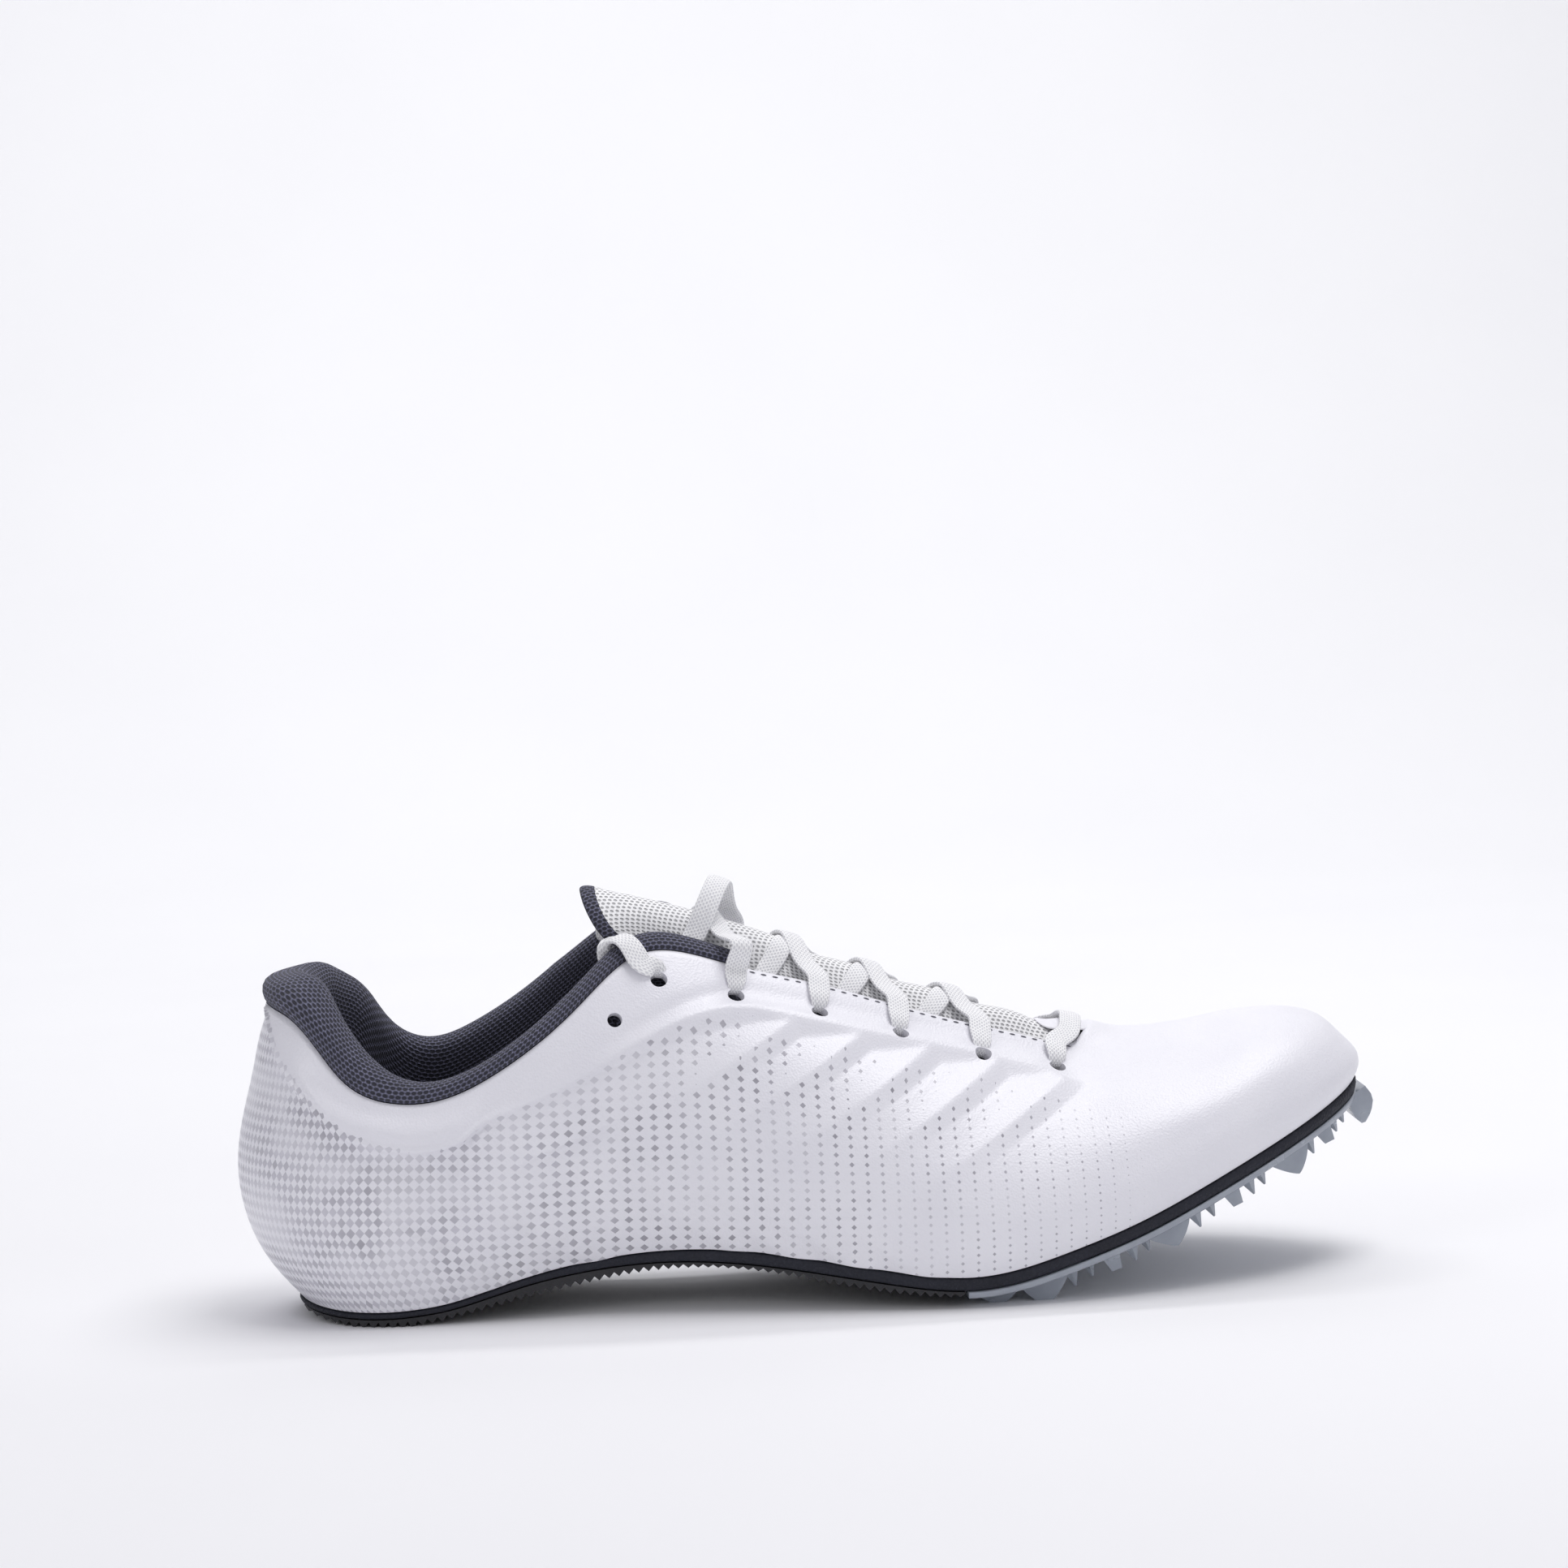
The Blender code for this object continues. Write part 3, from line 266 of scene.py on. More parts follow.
SOLE_EDGE = {
    "x": (0.049, 0.08, 0.115, 0.15, 0.18, 0.21, 0.25, 0.30, 0.36, 0.43, 0.50, 0.56, 0.625, 0.66, 0.71, 0.77,
          0.84, 0.91, 0.982),
    "rise": (0.105, 0.086, 0.080, 0.089, 0.115, 0.165, 0.235, 0.297, 0.338, 0.331, 0.27, 0.207, 0.169, 0.198,
             0.284, 0.41, 0.60, 0.80, 1.01),
}
WIDTHS = {
    "x": (0.049, 0.147, 0.21, 0.28, 0.35, 0.42, 0.49, 0.56, 0.63, 0.70, 0.80, 0.982),
    "sole_lateral": (0.328, 0.328, 0.322, 0.306, 0.311, 0.356, 0.417, 0.483, 0.524, 0.528, 0.511, 0.511),
    "sole_medial": (0.311, 0.311, 0.294, 0.256, 0.228, 0.226, 0.272, 0.350, 0.414, 0.444, 0.456, 0.46),
    "wide_lateral": (0.372, 0.372, 0.372, 0.361, 0.367, 0.406, 0.456, 0.511, 0.552, 0.553, 0.533, 0.533),
    "wide_medial": (0.356, 0.356, 0.344, 0.322, 0.306, 0.306, 0.344, 0.406, 0.456, 0.478, 0.478, 0.48),
    "shoulder_lateral": (0.367, 0.367, 0.372, 0.356, 0.344, 0.350, 0.378, 0.417, 0.439, 0.450, 0.478, 0.478),
    "shoulder_medial": (0.356, 0.356, 0.356, 0.333, 0.311, 0.300, 0.311, 0.344, 0.378, 0.400, 0.433, 0.433),
}
HEIGHTS = {
    "x": (0.049, 0.147, 0.21, 0.28, 0.35, 0.42, 0.49, 0.56, 0.63, 0.70, 0.77, 0.84, 0.91, 0.982),
    "wide": (0.34, 0.22, 0.21, 0.20, 0.20, 0.19, 0.18, 0.158, 0.124, 0.10, 0.085, 0.075, 0.07, 0.045),
    "shoulder": (0.55, 0.42, 0.41, 0.42, 0.455, 0.455, 0.425, 0.385, 0.335, 0.265, 0.22, 0.175, 0.155, 0.115),
}
TOP_LINE = {
    "x": (0.049, 0.07, 0.088, 0.105, 0.126, 0.147, 0.17, 0.20, 0.235, 0.27, 0.30, 0.325, 0.345, 0.365, 0.39,
          0.43, 0.50, 0.56, 0.62, 0.68, 0.727, 0.78, 0.84, 0.91, 0.982),
    "half": (0.345, 0.345, 0.345, 0.345, 0.345, 0.345, 0.345, 0.345, 0.342, 0.330, 0.298, 0.253, 0.210, 0.182,
             0.170, 0.160, 0.147, 0.139, 0.133, 0.127, 0.122, 0.14, 0.17, 0.20, 0.22),
    "height": (0.766, 0.742, 0.68, 0.61, 0.562, 0.544, 0.541, 0.562, 0.614, 0.682, 0.752, 0.815, 0.852, 0.866,
               0.858, 0.822, 0.766, 0.710, 0.655, 0.608, 0.574, 0.560, 0.568, 0.598, 0.605),
}
RIDGE = {
    "x": (0.049, 0.20, 0.27, 0.32, 0.36, 0.41, 0.45, 0.50, 0.56, 0.62, 0.69, 0.745, 0.81, 0.86, 0.92, 0.982),
    "height": (1.28, 1.24, 1.13, 1.03, 0.986, 0.938, 0.893, 0.840, 0.775, 0.715, 0.650, 0.608, 0.594, 0.603,
               0.622, 0.627),
}
LINE_ENDS = {"low": (-0.033, 0.003), "wide": (-0.049, 0.004), "shoulder": (-0.033, -0.012),
             "top": (-0.015, -0.034), "ridge": (0.092, -0.062)}
HEEL_BLEND, TOE_BLEND = 0.23, 0.28
LATERAL_SOLE, LATERAL_TOP, RIDGE_TOP, MEDIAL_TOP, MEDIAL_SOLE = 0, 4, 5, 6, 10
print("the last is", LENGTH / MM, "mm long and has", len(LINE_ENDS) * 2 + 1, "lines")


# %% Reading the last
READ = {}


def table(rows, column, station):
    """One column of a table at a station, read from a fine copy of its spline."""
    key = (id(rows), column)
    if key not in READ:
        fine = np.linspace(rows["x"][0], rows["x"][-1], 3001)
        READ[key] = (fine, spline(rows["x"], rows[column], fine))
    return float(np.interp(station, *READ[key]))


def end_round(station):
    """1 along the shoe, falling to 0 as an ellipse at the heel's back and at the toe's tip."""
    heel = max(0.0, (HEEL_ROUND - station) / (HEEL_ROUND - HEEL_START))
    toe = max(0.0, (station - TOE_ROUND) / (TOE_END - TOE_ROUND))
    return math.sqrt(max(0.0, 1 - heel**2.2)) * math.sqrt(max(0.0, 1 - toe**2.05))


def centre_line(station):
    return TOE_SWING * float(smooth((station - 0.35) / 0.55))


def sole_edge(station):
    return TOE_SPRING * table(SOLE_EDGE, "rise", station)


def along(station, line=None):
    """X of a line of the last at a station, measured from the middle of the shoe."""
    x = station
    if line:
        heel, toe = LINE_ENDS[line]
        x += heel * max(0.0, 1 - (station - HEEL_START) / HEEL_BLEND) ** 2
        x += toe * max(0.0, 1 - (TOE_END - station) / TOE_BLEND) ** 2
    return LENGTH * (x - 0.5)


def medial_rise(station):
    """How much higher the top line runs on the medial side."""
    rise = float(smooth((station - 0.075) / 0.06))
    fall = min(max((0.40 - station) / 0.12, 0.0), 1.0)
    return MEDIAL_COLLAR_RISE * rise * (0.25 + 0.75 * fall)


def sole_point(station, side):
    """The sole's edge at a station, on the lateral side (-1) or the medial one (1)."""
    column = "sole_lateral" if side < 0 else "sole_medial"
    half = BALL_WIDTH * table(WIDTHS, column, station) * end_round(station)
    return np.array((along(station), centre_line(station) + side * half, sole_edge(station)))


def side_points(station, side):
    """The last's points on one side of a section, from the sole's edge up to the top line."""
    word = "lateral" if side < 0 else "medial"
    centre, ends, base = centre_line(station), end_round(station), sole_edge(station)
    sole = sole_point(station, side)
    wide_half = BALL_WIDTH * table(WIDTHS, "wide_" + word, station) * ends
    wide_up = INSTEP_HEIGHT * table(HEIGHTS, "wide", station)
    low_half = 0.35 * abs(sole[1] - centre) + 0.65 * wide_half
    shoulder_half = BALL_WIDTH * table(WIDTHS, "shoulder_" + word, station) * ends
    shoulder_up = INSTEP_HEIGHT * table(HEIGHTS, "shoulder", station)
    top_half = BALL_WIDTH * table(TOP_LINE, "half", station) * ends
    top_up = INSTEP_HEIGHT * table(TOP_LINE, "height", station) + (medial_rise(station) if side > 0 else 0.0)
    return [
        sole,
        np.array((along(station, "low"), centre + side * low_half, base + 0.36 * wide_up)),
        np.array((along(station, "wide"), centre + side * wide_half, base + wide_up)),
        np.array((along(station, "shoulder"), centre + side * shoulder_half, base + shoulder_up)),
        np.array((along(station, "top"), centre + side * top_half, top_up)),
    ]


SECTIONS = {}


def section(station):
    """Knots and points of the smooth curve over the foot at a station."""
    key = round(float(station), 6)
    if key not in SECTIONS:
        height = INSTEP_HEIGHT * table(RIDGE, "height", station)
        ridge = np.array((along(station, "ridge"), centre_line(station), height))
        points = np.array(side_points(station, -1) + [ridge] + side_points(station, 1)[::-1])
        chords = np.maximum(np.linalg.norm(np.diff(points, axis=0), axis=1), 0.1 * MM)
        SECTIONS[key] = (np.concatenate([[0], np.cumsum(chords**0.7)]), points)
    return SECTIONS[key]


def last(station, places):
    """Points of the last at a station. Places run from 0, the sole's lateral edge, to 10, its medial one."""
    knots, points = section(station)
    return spline(knots, points, np.interp(places, range(len(knots)), knots))


def last_normals(station, places):
    """Outward unit normals of the last."""
    places = np.atleast_1d(np.asarray(places, float))
    before = max(station - 0.004, HEEL_START + 0.0004)
    after = min(station + 0.004, TOE_END - 0.0004)
    middle = (before + after) / 2
    across = last(middle, np.minimum(places + 0.03, 10)) - last(middle, np.maximum(places - 0.03, 0))
    return unit(np.cross(last(after, places) - last(before, places), across))


def all_stations(count):
    """Stations that close up towards the heel's back and the toe's tip."""
    turns = np.linspace(0, math.pi, count + 1)
    return HEEL_START + (TOE_END - HEEL_START) * (1 - np.cos(turns)) / 2


def side_ends(side):
    """Places of the top line and of the sole's edge on one side."""
    return (LATERAL_TOP, LATERAL_SOLE) if side < 0 else (MEDIAL_TOP, MEDIAL_SOLE)


def place_below_top(station, side, distance):
    """Place on a section at a distance down from the top line, and the last's point there."""
    top, sole = side_ends(side)
    places = np.linspace(top, sole, 161)
    place = float(np.interp(distance, run_length(last(station, places)), places))
    return place, last(station, [place])[0]


print("instep point:", [round(float(v) / MM, 1) for v in last(0.36, [RIDGE_TOP])[0]], "mm")

# %% [markdown]
# ## Tools for materials
# Every finish on the shoe is made of nodes. Helpers keep the node code short: they do sums with sockets, blend
# colours, read numbers kept on a mesh and start a Principled material. Effects that several finishes share are
# node groups: a fine grain, a knit of small holes, and the printed lattice of diamonds.


# %% Node helpers
def calc(tree, operation, *terms):
    """One Math node. Terms are numbers or sockets; gives back the node's output."""
    made = tree.nodes.new("ShaderNodeMath")
    made.operation = operation
    for socket, term in zip(made.inputs, terms):
        if isinstance(term, (int, float)):
            socket.default_value = term
        else:
            tree.links.new(term, socket)
    return made.outputs[0]


def ramp(tree, value, low, high, start=0.0, end=1.0):
    """Value from low to high made into start to end, with a soft S between."""
    made = tree.nodes.new("ShaderNodeMapRange")
    made.interpolation_type = "SMOOTHSTEP"
    tree.links.new(value, made.inputs["Value"])
    for name, number in (("From Min", low), ("From Max", high), ("To Min", start), ("To Max", end)):
        made.inputs[name].default_value = number
    return made.outputs["Result"]


def blend_colours(tree, share, first, second):
    """Colour between two, which are colours or sockets, by a share."""
    made = tree.nodes.new("ShaderNodeMix")
    made.data_type = "RGBA"
    sockets = [s for s in made.inputs if s.type == "RGBA"]
    tree.links.new(share, made.inputs["Factor"])
    for socket, colour in zip(sockets, (first, second)):
        if isinstance(colour, tuple):
            socket.default_value = (*colour, 1)
        else:
            tree.links.new(colour, socket)
    return [s for s in made.outputs if s.type == "RGBA"][0]


def noise(tree, scale, detail=2.0):
    """Noise on the object's own coordinates, in features for each metre."""
    place = tree.nodes.new("ShaderNodeTexCoord").outputs["Object"]
    made = tree.nodes.new("ShaderNodeTexNoise")
    made.inputs["Scale"].default_value = scale
    made.inputs["Detail"].default_value = detail
    tree.links.new(place, made.inputs["Vector"])
    return made.outputs["Fac"]


def new_group(name, inputs, outputs):
    """Shader node group, with the sockets that it is given and those that it gives back."""
    group = bpy.data.node_groups.new(name, "ShaderNodeTree")
    for label, value in inputs.items():
        kind = "NodeSocketVector" if isinstance(value, tuple) else "NodeSocketFloat"
        socket = group.interface.new_socket(label, in_out="INPUT", socket_type=kind)
        socket.default_value = value
    for label, kind in outputs.items():
        group.interface.new_socket(label, in_out="OUTPUT", socket_type=kind)
    return group, group.nodes.new("NodeGroupInput").outputs, group.nodes.new("NodeGroupOutput").inputs


def use_group(tree, group, **values):
    """Places a group in a material. Values are numbers, vectors or sockets, named as its inputs are."""
    made = tree.nodes.new("ShaderNodeGroup")
    made.node_tree = group
    for name, value in values.items():
        socket = made.inputs[name.replace("_", " ")]
        if isinstance(value, bpy.types.NodeSocket):
            tree.links.new(value, socket)
        else:
            socket.default_value = value
    return made.outputs


def new_material(name, colour, roughness, **fixed):
    """Principled material, its node tree and its shader. Fixed numbers go on the shader's own sockets."""
    material = bpy.data.materials.new(name)
    material.use_nodes = True
    tree = material.node_tree
    shader = tree.nodes["Principled BSDF"]
    shader.inputs["Base Color"].default_value = (*colour, 1)
    shader.inputs["Roughness"].default_value = roughness
    for label, value in fixed.items():
        shader.inputs[label.replace("_", " ")].default_value = value
    return material, tree, shader


def bump(tree, shader, height, distance):
    """Feeds a height to the shader's normal. Distance is how far full height stands out, in metres."""
    made = tree.nodes.new("ShaderNodeBump")
    made.inputs["Distance"].default_value = distance
    made.inputs["Strength"].default_value = 1.0
    tree.links.new(height, made.inputs["Height"])
    tree.links.new(made.outputs["Normal"], shader.inputs["Normal"])


def read_values(tree, name):
    """The numbers that keep_values wrote on the mesh, as the three parts of a vector."""
    made = tree.nodes.new("ShaderNodeAttribute")
    made.attribute_name = name
    parts = tree.nodes.new("ShaderNodeSeparateXYZ")
    tree.links.new(made.outputs["Vector"], parts.inputs[0])
    return parts.outputs


print("node helpers ready")


# %% Grain, knit and lattice groups
def make_grain_group():
    """Fine pebbled grain of a coated synthetic: two noises, the larger one faint."""
    group, given, result = new_group(
        "fine_grain",
        {"Scale": 2200.0, "Broad Scale": 90.0},
        {"Height": "NodeSocketFloat", "Broad": "NodeSocketFloat"},
    )
    place = group.nodes.new("ShaderNodeTexCoord").outputs["Object"]
    fine = group.nodes.new("ShaderNodeTexVoronoi")
    fine.feature = "SMOOTH_F1"
    fine.inputs["Smoothness"].default_value = 0.6
    group.links.new(place, fine.inputs["Vector"])
    group.links.new(given["Scale"], fine.inputs["Scale"])
    broad = group.nodes.new("ShaderNodeTexNoise")
    group.links.new(place, broad.inputs["Vector"])
    group.links.new(given["Broad Scale"], broad.inputs["Scale"])
    group.links.new(fine.outputs["Distance"], result["Height"])
    group.links.new(broad.outputs["Fac"], result["Broad"])
    return group


def make_knit_group():
    """Knit of staggered holes. Across and Along are the pattern's own lengths in metres."""
    group, given, result = new_group(
        "staggered_knit",
        {"Along": 0.0, "Across": 0.0, "Stitch Length": 0.0015, "Row Height": 0.001, "Hole": 0.6},
        {"Thread": "NodeSocketFloat", "Cell Shade": "NodeSocketFloat"},
    )
    row = calc(group, "DIVIDE", given["Across"], given["Row Height"])
    level = calc(group, "FLOOR", row)
    shift = calc(group, "MULTIPLY", calc(group, "MODULO", level, 2.0), 0.5)
    stitch = calc(group, "ADD", calc(group, "DIVIDE", given["Along"], given["Stitch Length"]), shift)
    u = calc(group, "SUBTRACT", calc(group, "FRACT", stitch), 0.5)
    v = calc(group, "SUBTRACT", calc(group, "FRACT", row), 0.5)
    squared = calc(group, "ADD", calc(group, "MULTIPLY", u, u), calc(group, "MULTIPLY", v, v))
    reach = calc(group, "DIVIDE", calc(group, "SQRT", squared), given["Hole"])
    group.links.new(ramp(group, reach, 0.45, 1.0), result["Thread"])
    spot = group.nodes.new("ShaderNodeCombineXYZ")
    group.links.new(calc(group, "FLOOR", stitch), spot.inputs[0])
    group.links.new(level, spot.inputs[1])
    chance = group.nodes.new("ShaderNodeTexWhiteNoise")
    group.links.new(spot.outputs[0], chance.inputs["Vector"])
    group.links.new(chance.outputs["Value"], result["Cell Shade"])
    return group


def make_lattice_group():
    """Printed lattice of diamonds: Ink is 1 inside a diamond, and Chance differs from one to the next."""
    group, given, result = new_group(
        "diamond_lattice",
        {"Column": 0.0, "Row": 0.0, "Half Width": 0.4, "Half Height": 0.4},
        {"Ink": "NodeSocketFloat", "Chance": "NodeSocketFloat"},
    )
    reach = []
    for place, half in (("Column", "Half Width"), ("Row", "Half Height")):
        off = calc(group, "ABSOLUTE", calc(group, "SUBTRACT", calc(group, "FRACT", given[place]), 0.5))
        reach.append(calc(group, "DIVIDE", off, calc(group, "MAXIMUM", given[half], 0.0005)))
    group.links.new(ramp(group, calc(group, "ADD", *reach), 0.86, 1.06, 1.0, 0.0), result["Ink"])
    spot = group.nodes.new("ShaderNodeCombineXYZ")
    for index, place in enumerate(("Column", "Row")):
        group.links.new(calc(group, "FLOOR", given[place]), spot.inputs[index])
    chance = group.nodes.new("ShaderNodeTexWhiteNoise")
    group.links.new(spot.outputs[0], chance.inputs["Vector"])
    group.links.new(chance.outputs["Value"], result["Chance"])
    return group


GRAIN, KNIT, LATTICE = make_grain_group(), make_knit_group(), make_lattice_group()
print("groups:", GRAIN.name, KNIT.name, LATTICE.name)

# %% [markdown]
# ## Finishes
# The upper is a thin coated synthetic in cool white with a soft gloss. Its print fades from touching grey
# diamonds at the heel to pin dots at the ball of the foot, so the size, spacing and darkness of the diamonds
# come from values kept on the mesh. The collar and lining are a slate knit, the tongue is an open white air
# mesh, and the lace is a dull woven white. The plate is frosted and lets light through.


# %% Upper finish
def make_upper_finish():
    """Cool white coat with grey diamonds, whose place, size and tone the mesh keeps."""
    material, tree, shader = new_material(
        "coated_white", (0.83, 0.825, 0.87), 0.36, Coat_Weight=0.18, Coat_Roughness=0.3
    )
    print_at, dot = read_values(tree, "print_place"), read_values(tree, "print_dot")
    lattice = use_group(
        tree, LATTICE, Column=print_at[0], Row=print_at[1], Half_Width=dot[0], Half_Height=dot[1]
    )
    grain = use_group(tree, GRAIN, Scale=1900.0, Broad_Scale=60.0)
    chance = calc(tree, "MULTIPLY", calc(tree, "SUBTRACT", lattice["Chance"], 0.5), 0.3)
    varied = calc(tree, "ADD", dot[2], chance)
    ink = blend_colours(tree, varied, (0.60, 0.59, 0.65), (0.16, 0.15, 0.18))
    white = blend_colours(tree, grain["Broad"], (0.80, 0.795, 0.85), (0.87, 0.865, 0.905))
    patchy = ramp(tree, noise(tree, 70.0, 1.0), 0.34, 0.62, 0.45, 1.0)
    covered = calc(tree, "MULTIPLY", lattice["Ink"], patchy)
    tree.links.new(blend_colours(tree, covered, white, ink), shader.inputs["Base Color"])
    rough = calc(tree, "ADD", 0.33, calc(tree, "MULTIPLY", grain["Broad"], 0.10))
    tree.links.new(rough, shader.inputs["Roughness"])
    bump(tree, shader, grain["Height"], 0.00009)
    return material


UPPER_FINISH = make_upper_finish()
print("finish:", UPPER_FINISH.name)


# %% Textile finishes
def make_knit_finish(name, thread, shaded_hole, stitch, row, hole=0.62, depth=0.0004):
    """Knit on the values kept as cloth_place: lengths along and across the cloth. The yarn varies in tone from
    stitch to stitch, and the holes take a darker colour as painted shade.
    """
    material, tree, shader = new_material(name, thread, 0.88, Sheen_Weight=0.12, Sheen_Roughness=0.5)
    place = read_values(tree, "cloth_place")
    knit = use_group(
        tree, KNIT, Along=place[0], Across=place[1], Stitch_Length=stitch, Row_Height=row, Hole=hole
    )
    lighter = tuple(min(1.0, part * 1.35) for part in thread)
    yarn = blend_colours(tree, knit["Cell Shade"], thread, lighter)
    # Painted shade: the holes between the threads take the darker colour.
    tree.links.new(blend_colours(tree, knit["Thread"], shaded_hole, yarn), shader.inputs["Base Color"])
    fuzz = calc(tree, "MULTIPLY", noise(tree, 4000.0), 0.35)
    bump(tree, shader, calc(tree, "ADD", knit["Thread"], fuzz), depth)
    return material


# The second colour of each knit is painted shade in its holes.
COLLAR_KNIT = make_knit_finish(
    "slate_knit", (0.172, 0.174, 0.262), (0.024, 0.024, 0.036), 1.5 * MM, 1.05 * MM, 0.6, 0.0005
)
LINING_KNIT = make_knit_finish(
    "slate_lining", (0.150, 0.150, 0.222), (0.020, 0.020, 0.030), 1.4 * MM, 1.0 * MM
)
TONGUE_MESH = make_knit_finish(
    "white_air_mesh", (0.93, 0.93, 0.94), (0.46, 0.46, 0.47), 1.45 * MM, 1.2 * MM, 0.36, 0.0004
)
LACE_WEAVE = make_knit_finish(
    "white_lace_weave", (0.95, 0.95, 0.96), (0.76, 0.76, 0.79), 1.1 * MM, 0.62 * MM, 0.42, 0.00015
)
print("textiles:", COLLAR_KNIT.name, LINING_KNIT.name, TONGUE_MESH.name, LACE_WEAVE.name)


# %% Sole finishes and thread
def make_speckled_finish(name, dark, light, roughness, scale, depth, **fixed):
    """Moulded foam, rubber or plastic: a mottled colour with a fine skin."""
    material, tree, shader = new_material(name, light, roughness, **fixed)
    grain = use_group(tree, GRAIN, Scale=scale, Broad_Scale=120.0)
    tree.links.new(blend_colours(tree, grain["Broad"], dark, light), shader.inputs["Base Color"])
    rough = calc(tree, "ADD", roughness - 0.06, calc(tree, "MULTIPLY", grain["Height"], 0.15))
    tree.links.new(rough, shader.inputs["Roughness"])
    bump(tree, shader, grain["Height"], depth)
    return material


FOAM = make_speckled_finish(
    "black_foam", (0.006, 0.007, 0.013), (0.015, 0.017, 0.029), 0.72, 1500.0, 0.00022
)
RUBBER = make_speckled_finish(
    "black_rubber", (0.010, 0.010, 0.012), (0.024, 0.024, 0.028), 0.55, 1100.0, 0.00012
)
THREAD = make_speckled_finish(
    "grey_thread", (0.09, 0.09, 0.11), (0.18, 0.18, 0.21), 0.8, 3000.0, 0.0001
)
print("sole finishes and thread:", FOAM.name, RUBBER.name, THREAD.name)


# %% Plate and floor finishes
def make_cloudy_finish(name, dark, light, roughness, scale, **fixed):
    """Even material with a faint cloudiness in its colour and its gloss."""
    material, tree, shader = new_material(name, light, roughness, **fixed)
    cloud = noise(tree, scale, 2.0)
    tree.links.new(blend_colours(tree, cloud, dark, light), shader.inputs["Base Color"])
    rough = calc(tree, "ADD", roughness - 0.05, calc(tree, "MULTIPLY", cloud, 0.1))
    tree.links.new(rough, shader.inputs["Roughness"])
    return material


FROSTED = make_cloudy_finish(
    "frosted_plate", (0.33, 0.36, 0.42), (0.50, 0.54, 0.60), 0.26, 160.0, Transmission_Weight=0.2, IOR=1.46
)
PAPER = make_cloudy_finish("studio_paper", (0.88, 0.88, 0.895), (0.92, 0.92, 0.93), 0.9, 6.0)
sweep.data.materials.append(PAPER)
print("plate and floor:", FROSTED.name, PAPER.name)

# %% [markdown]
# ## Upper
# The upper of a modern spike is one moulded sheet. A raised panel carries the collar and the eyelets, and
# below it the side is pressed into slanted pleats and shallow folds. Sculpting by hand would be hard to
# repeat, so the relief is written as heights over the last: distance to a line, made soft by an S curve. The
# toe, where all sections close up, is ironed smooth before the relief goes on. The sheet gets a real wall with
# Solidify, and a Boolean drills its fourteen eyelets.

# %% Lines of the raised panel, in millimetres from the heel's back and over the floor
PANEL_LINE = np.array([
    (-5, 96), (10.3, 75.5), (13.0, 64.0), (15.8, 60.1), (20.5, 53.9), (25.1, 48.9), (29.9, 45.8), (37.4, 43.6),
    (44.1, 42.6), (50.7, 43.1), (56.5, 44.8), (60.3, 48.2), (64.1, 50.2), (69.8, 52.3), (77.5, 55.2),
    (87.1, 59.4), (96.6, 64.2), (104.3, 67.6), (110.0, 69.8), (115.8, 71.2), (121.5, 71.7), (128.2, 71.0),
    (134.9, 69.3), (144.5, 66.8), (154.1, 64.1), (168.5, 60.3), (182.9, 56.6), (197.4, 52.6), (204.2, 50.5),
    (214.0, 48.8), (226.0, 48.6), (242.0, 50.4), (262.0, 55.0), (290.0, 63.0),
])
PANEL_DROP = np.array([
    (0, 1.2), (88, 1.3), (100, 2.6), (112, 3.2), (150, 3.2), (197, 2.9), (208, 2.4), (290, 1.6),
])
PANEL_RISE = np.array([
    (0, 1.0), (60, 1.0), (90, 1.0), (112, 1.1), (180, 1.0), (196, 0.75), (214, 0.0), (290, 0.0),
])


def read_line(line, x):
    """Height of a line at x, with its corners rounded over a few millimetres."""
    fine = np.arange(-6, 292, 0.25)
    soft = np.convolve(np.pad(np.interp(fine, *line.T), 5, "edge"), np.full(11, 1 / 11), "valid")
    return np.interp(x, fine, soft)


def panel_foot(x):
    """Height at which the slope below the panel's line ends."""
    return read_line(PANEL_LINE, x) - np.interp(x, *PANEL_DROP.T)


print("panel line:", len(PANEL_LINE), "points")

# %% Relief of the sides
PLEAT_SLANT = math.radians(29)
PLEAT_START = np.array((134.3, 66.8))
PLEAT_PITCH, PLEAT_TROUGH, PLEAT_HEIGHT, LAST_PLEAT = 12.0, 3.8, 1.8, 4
BEAD_HEIGHT, BEAD_LIP, BEAD_TROUGH = 0.85, 0.26, 0.45
HEEL_LIP, HEEL_BULGE, SEAM_DEPTH, EDGE_DROP = 0.7, 1.7, 0.2, 0.7
FOLDS = (
    # from x, z to x, z, height, soft width: crisp on the left of the way from first to second
    (53.0, 35.0, 63.5, 50.0, 1.05, 4.0),
    (92.9, 47.4, 68.5, 38.0, 0.98, 4.5),
    (24.5, 26.5, 40.5, 11.5, 0.91, 5.0),
    (40.6, 25.6, 64.0, 11.0, 1.05, 5.5),
    (62.7, 26.1, 90.5, 15.0, 1.12, 6.0),
    (96.0, 33.0, 124.0, 16.5, 0.84, 6.0),
    (112.2, 29.6, 139.0, 13.4, 0.98, 6.0),
    (126.8, 28.8, 153.5, 11.2, 1.12, 6.5),
    (144.0, 25.9, 169.5, 9.2, 0.98, 6.5),
)


def hump(value, middle, reach):
    """A soft round hump: 1 at its middle, and nearly 0 two reaches away."""
    return np.exp(-(((value - middle) / reach) ** 2))


def fold_height(x, z, fold):
    """A fold that is steep on one side and runs out softly on the other."""
    x0, z0, x1, z1, height, width = fold
    length = math.hypot(x1 - x0, z1 - z0)
    ahead = ((x - x0) * (x1 - x0) + (z - z0) * (z1 - z0)) / length
    aside = ((x - x0) * (z1 - z0) - (z - z0) * (x1 - x0)) / length
    ends = smooth((ahead + 3) / 8) * smooth((length + 3 - ahead) / 8)
    return height * smooth((aside + 0.7) / 1.1) * (1 - smooth(aside / width)) * ends


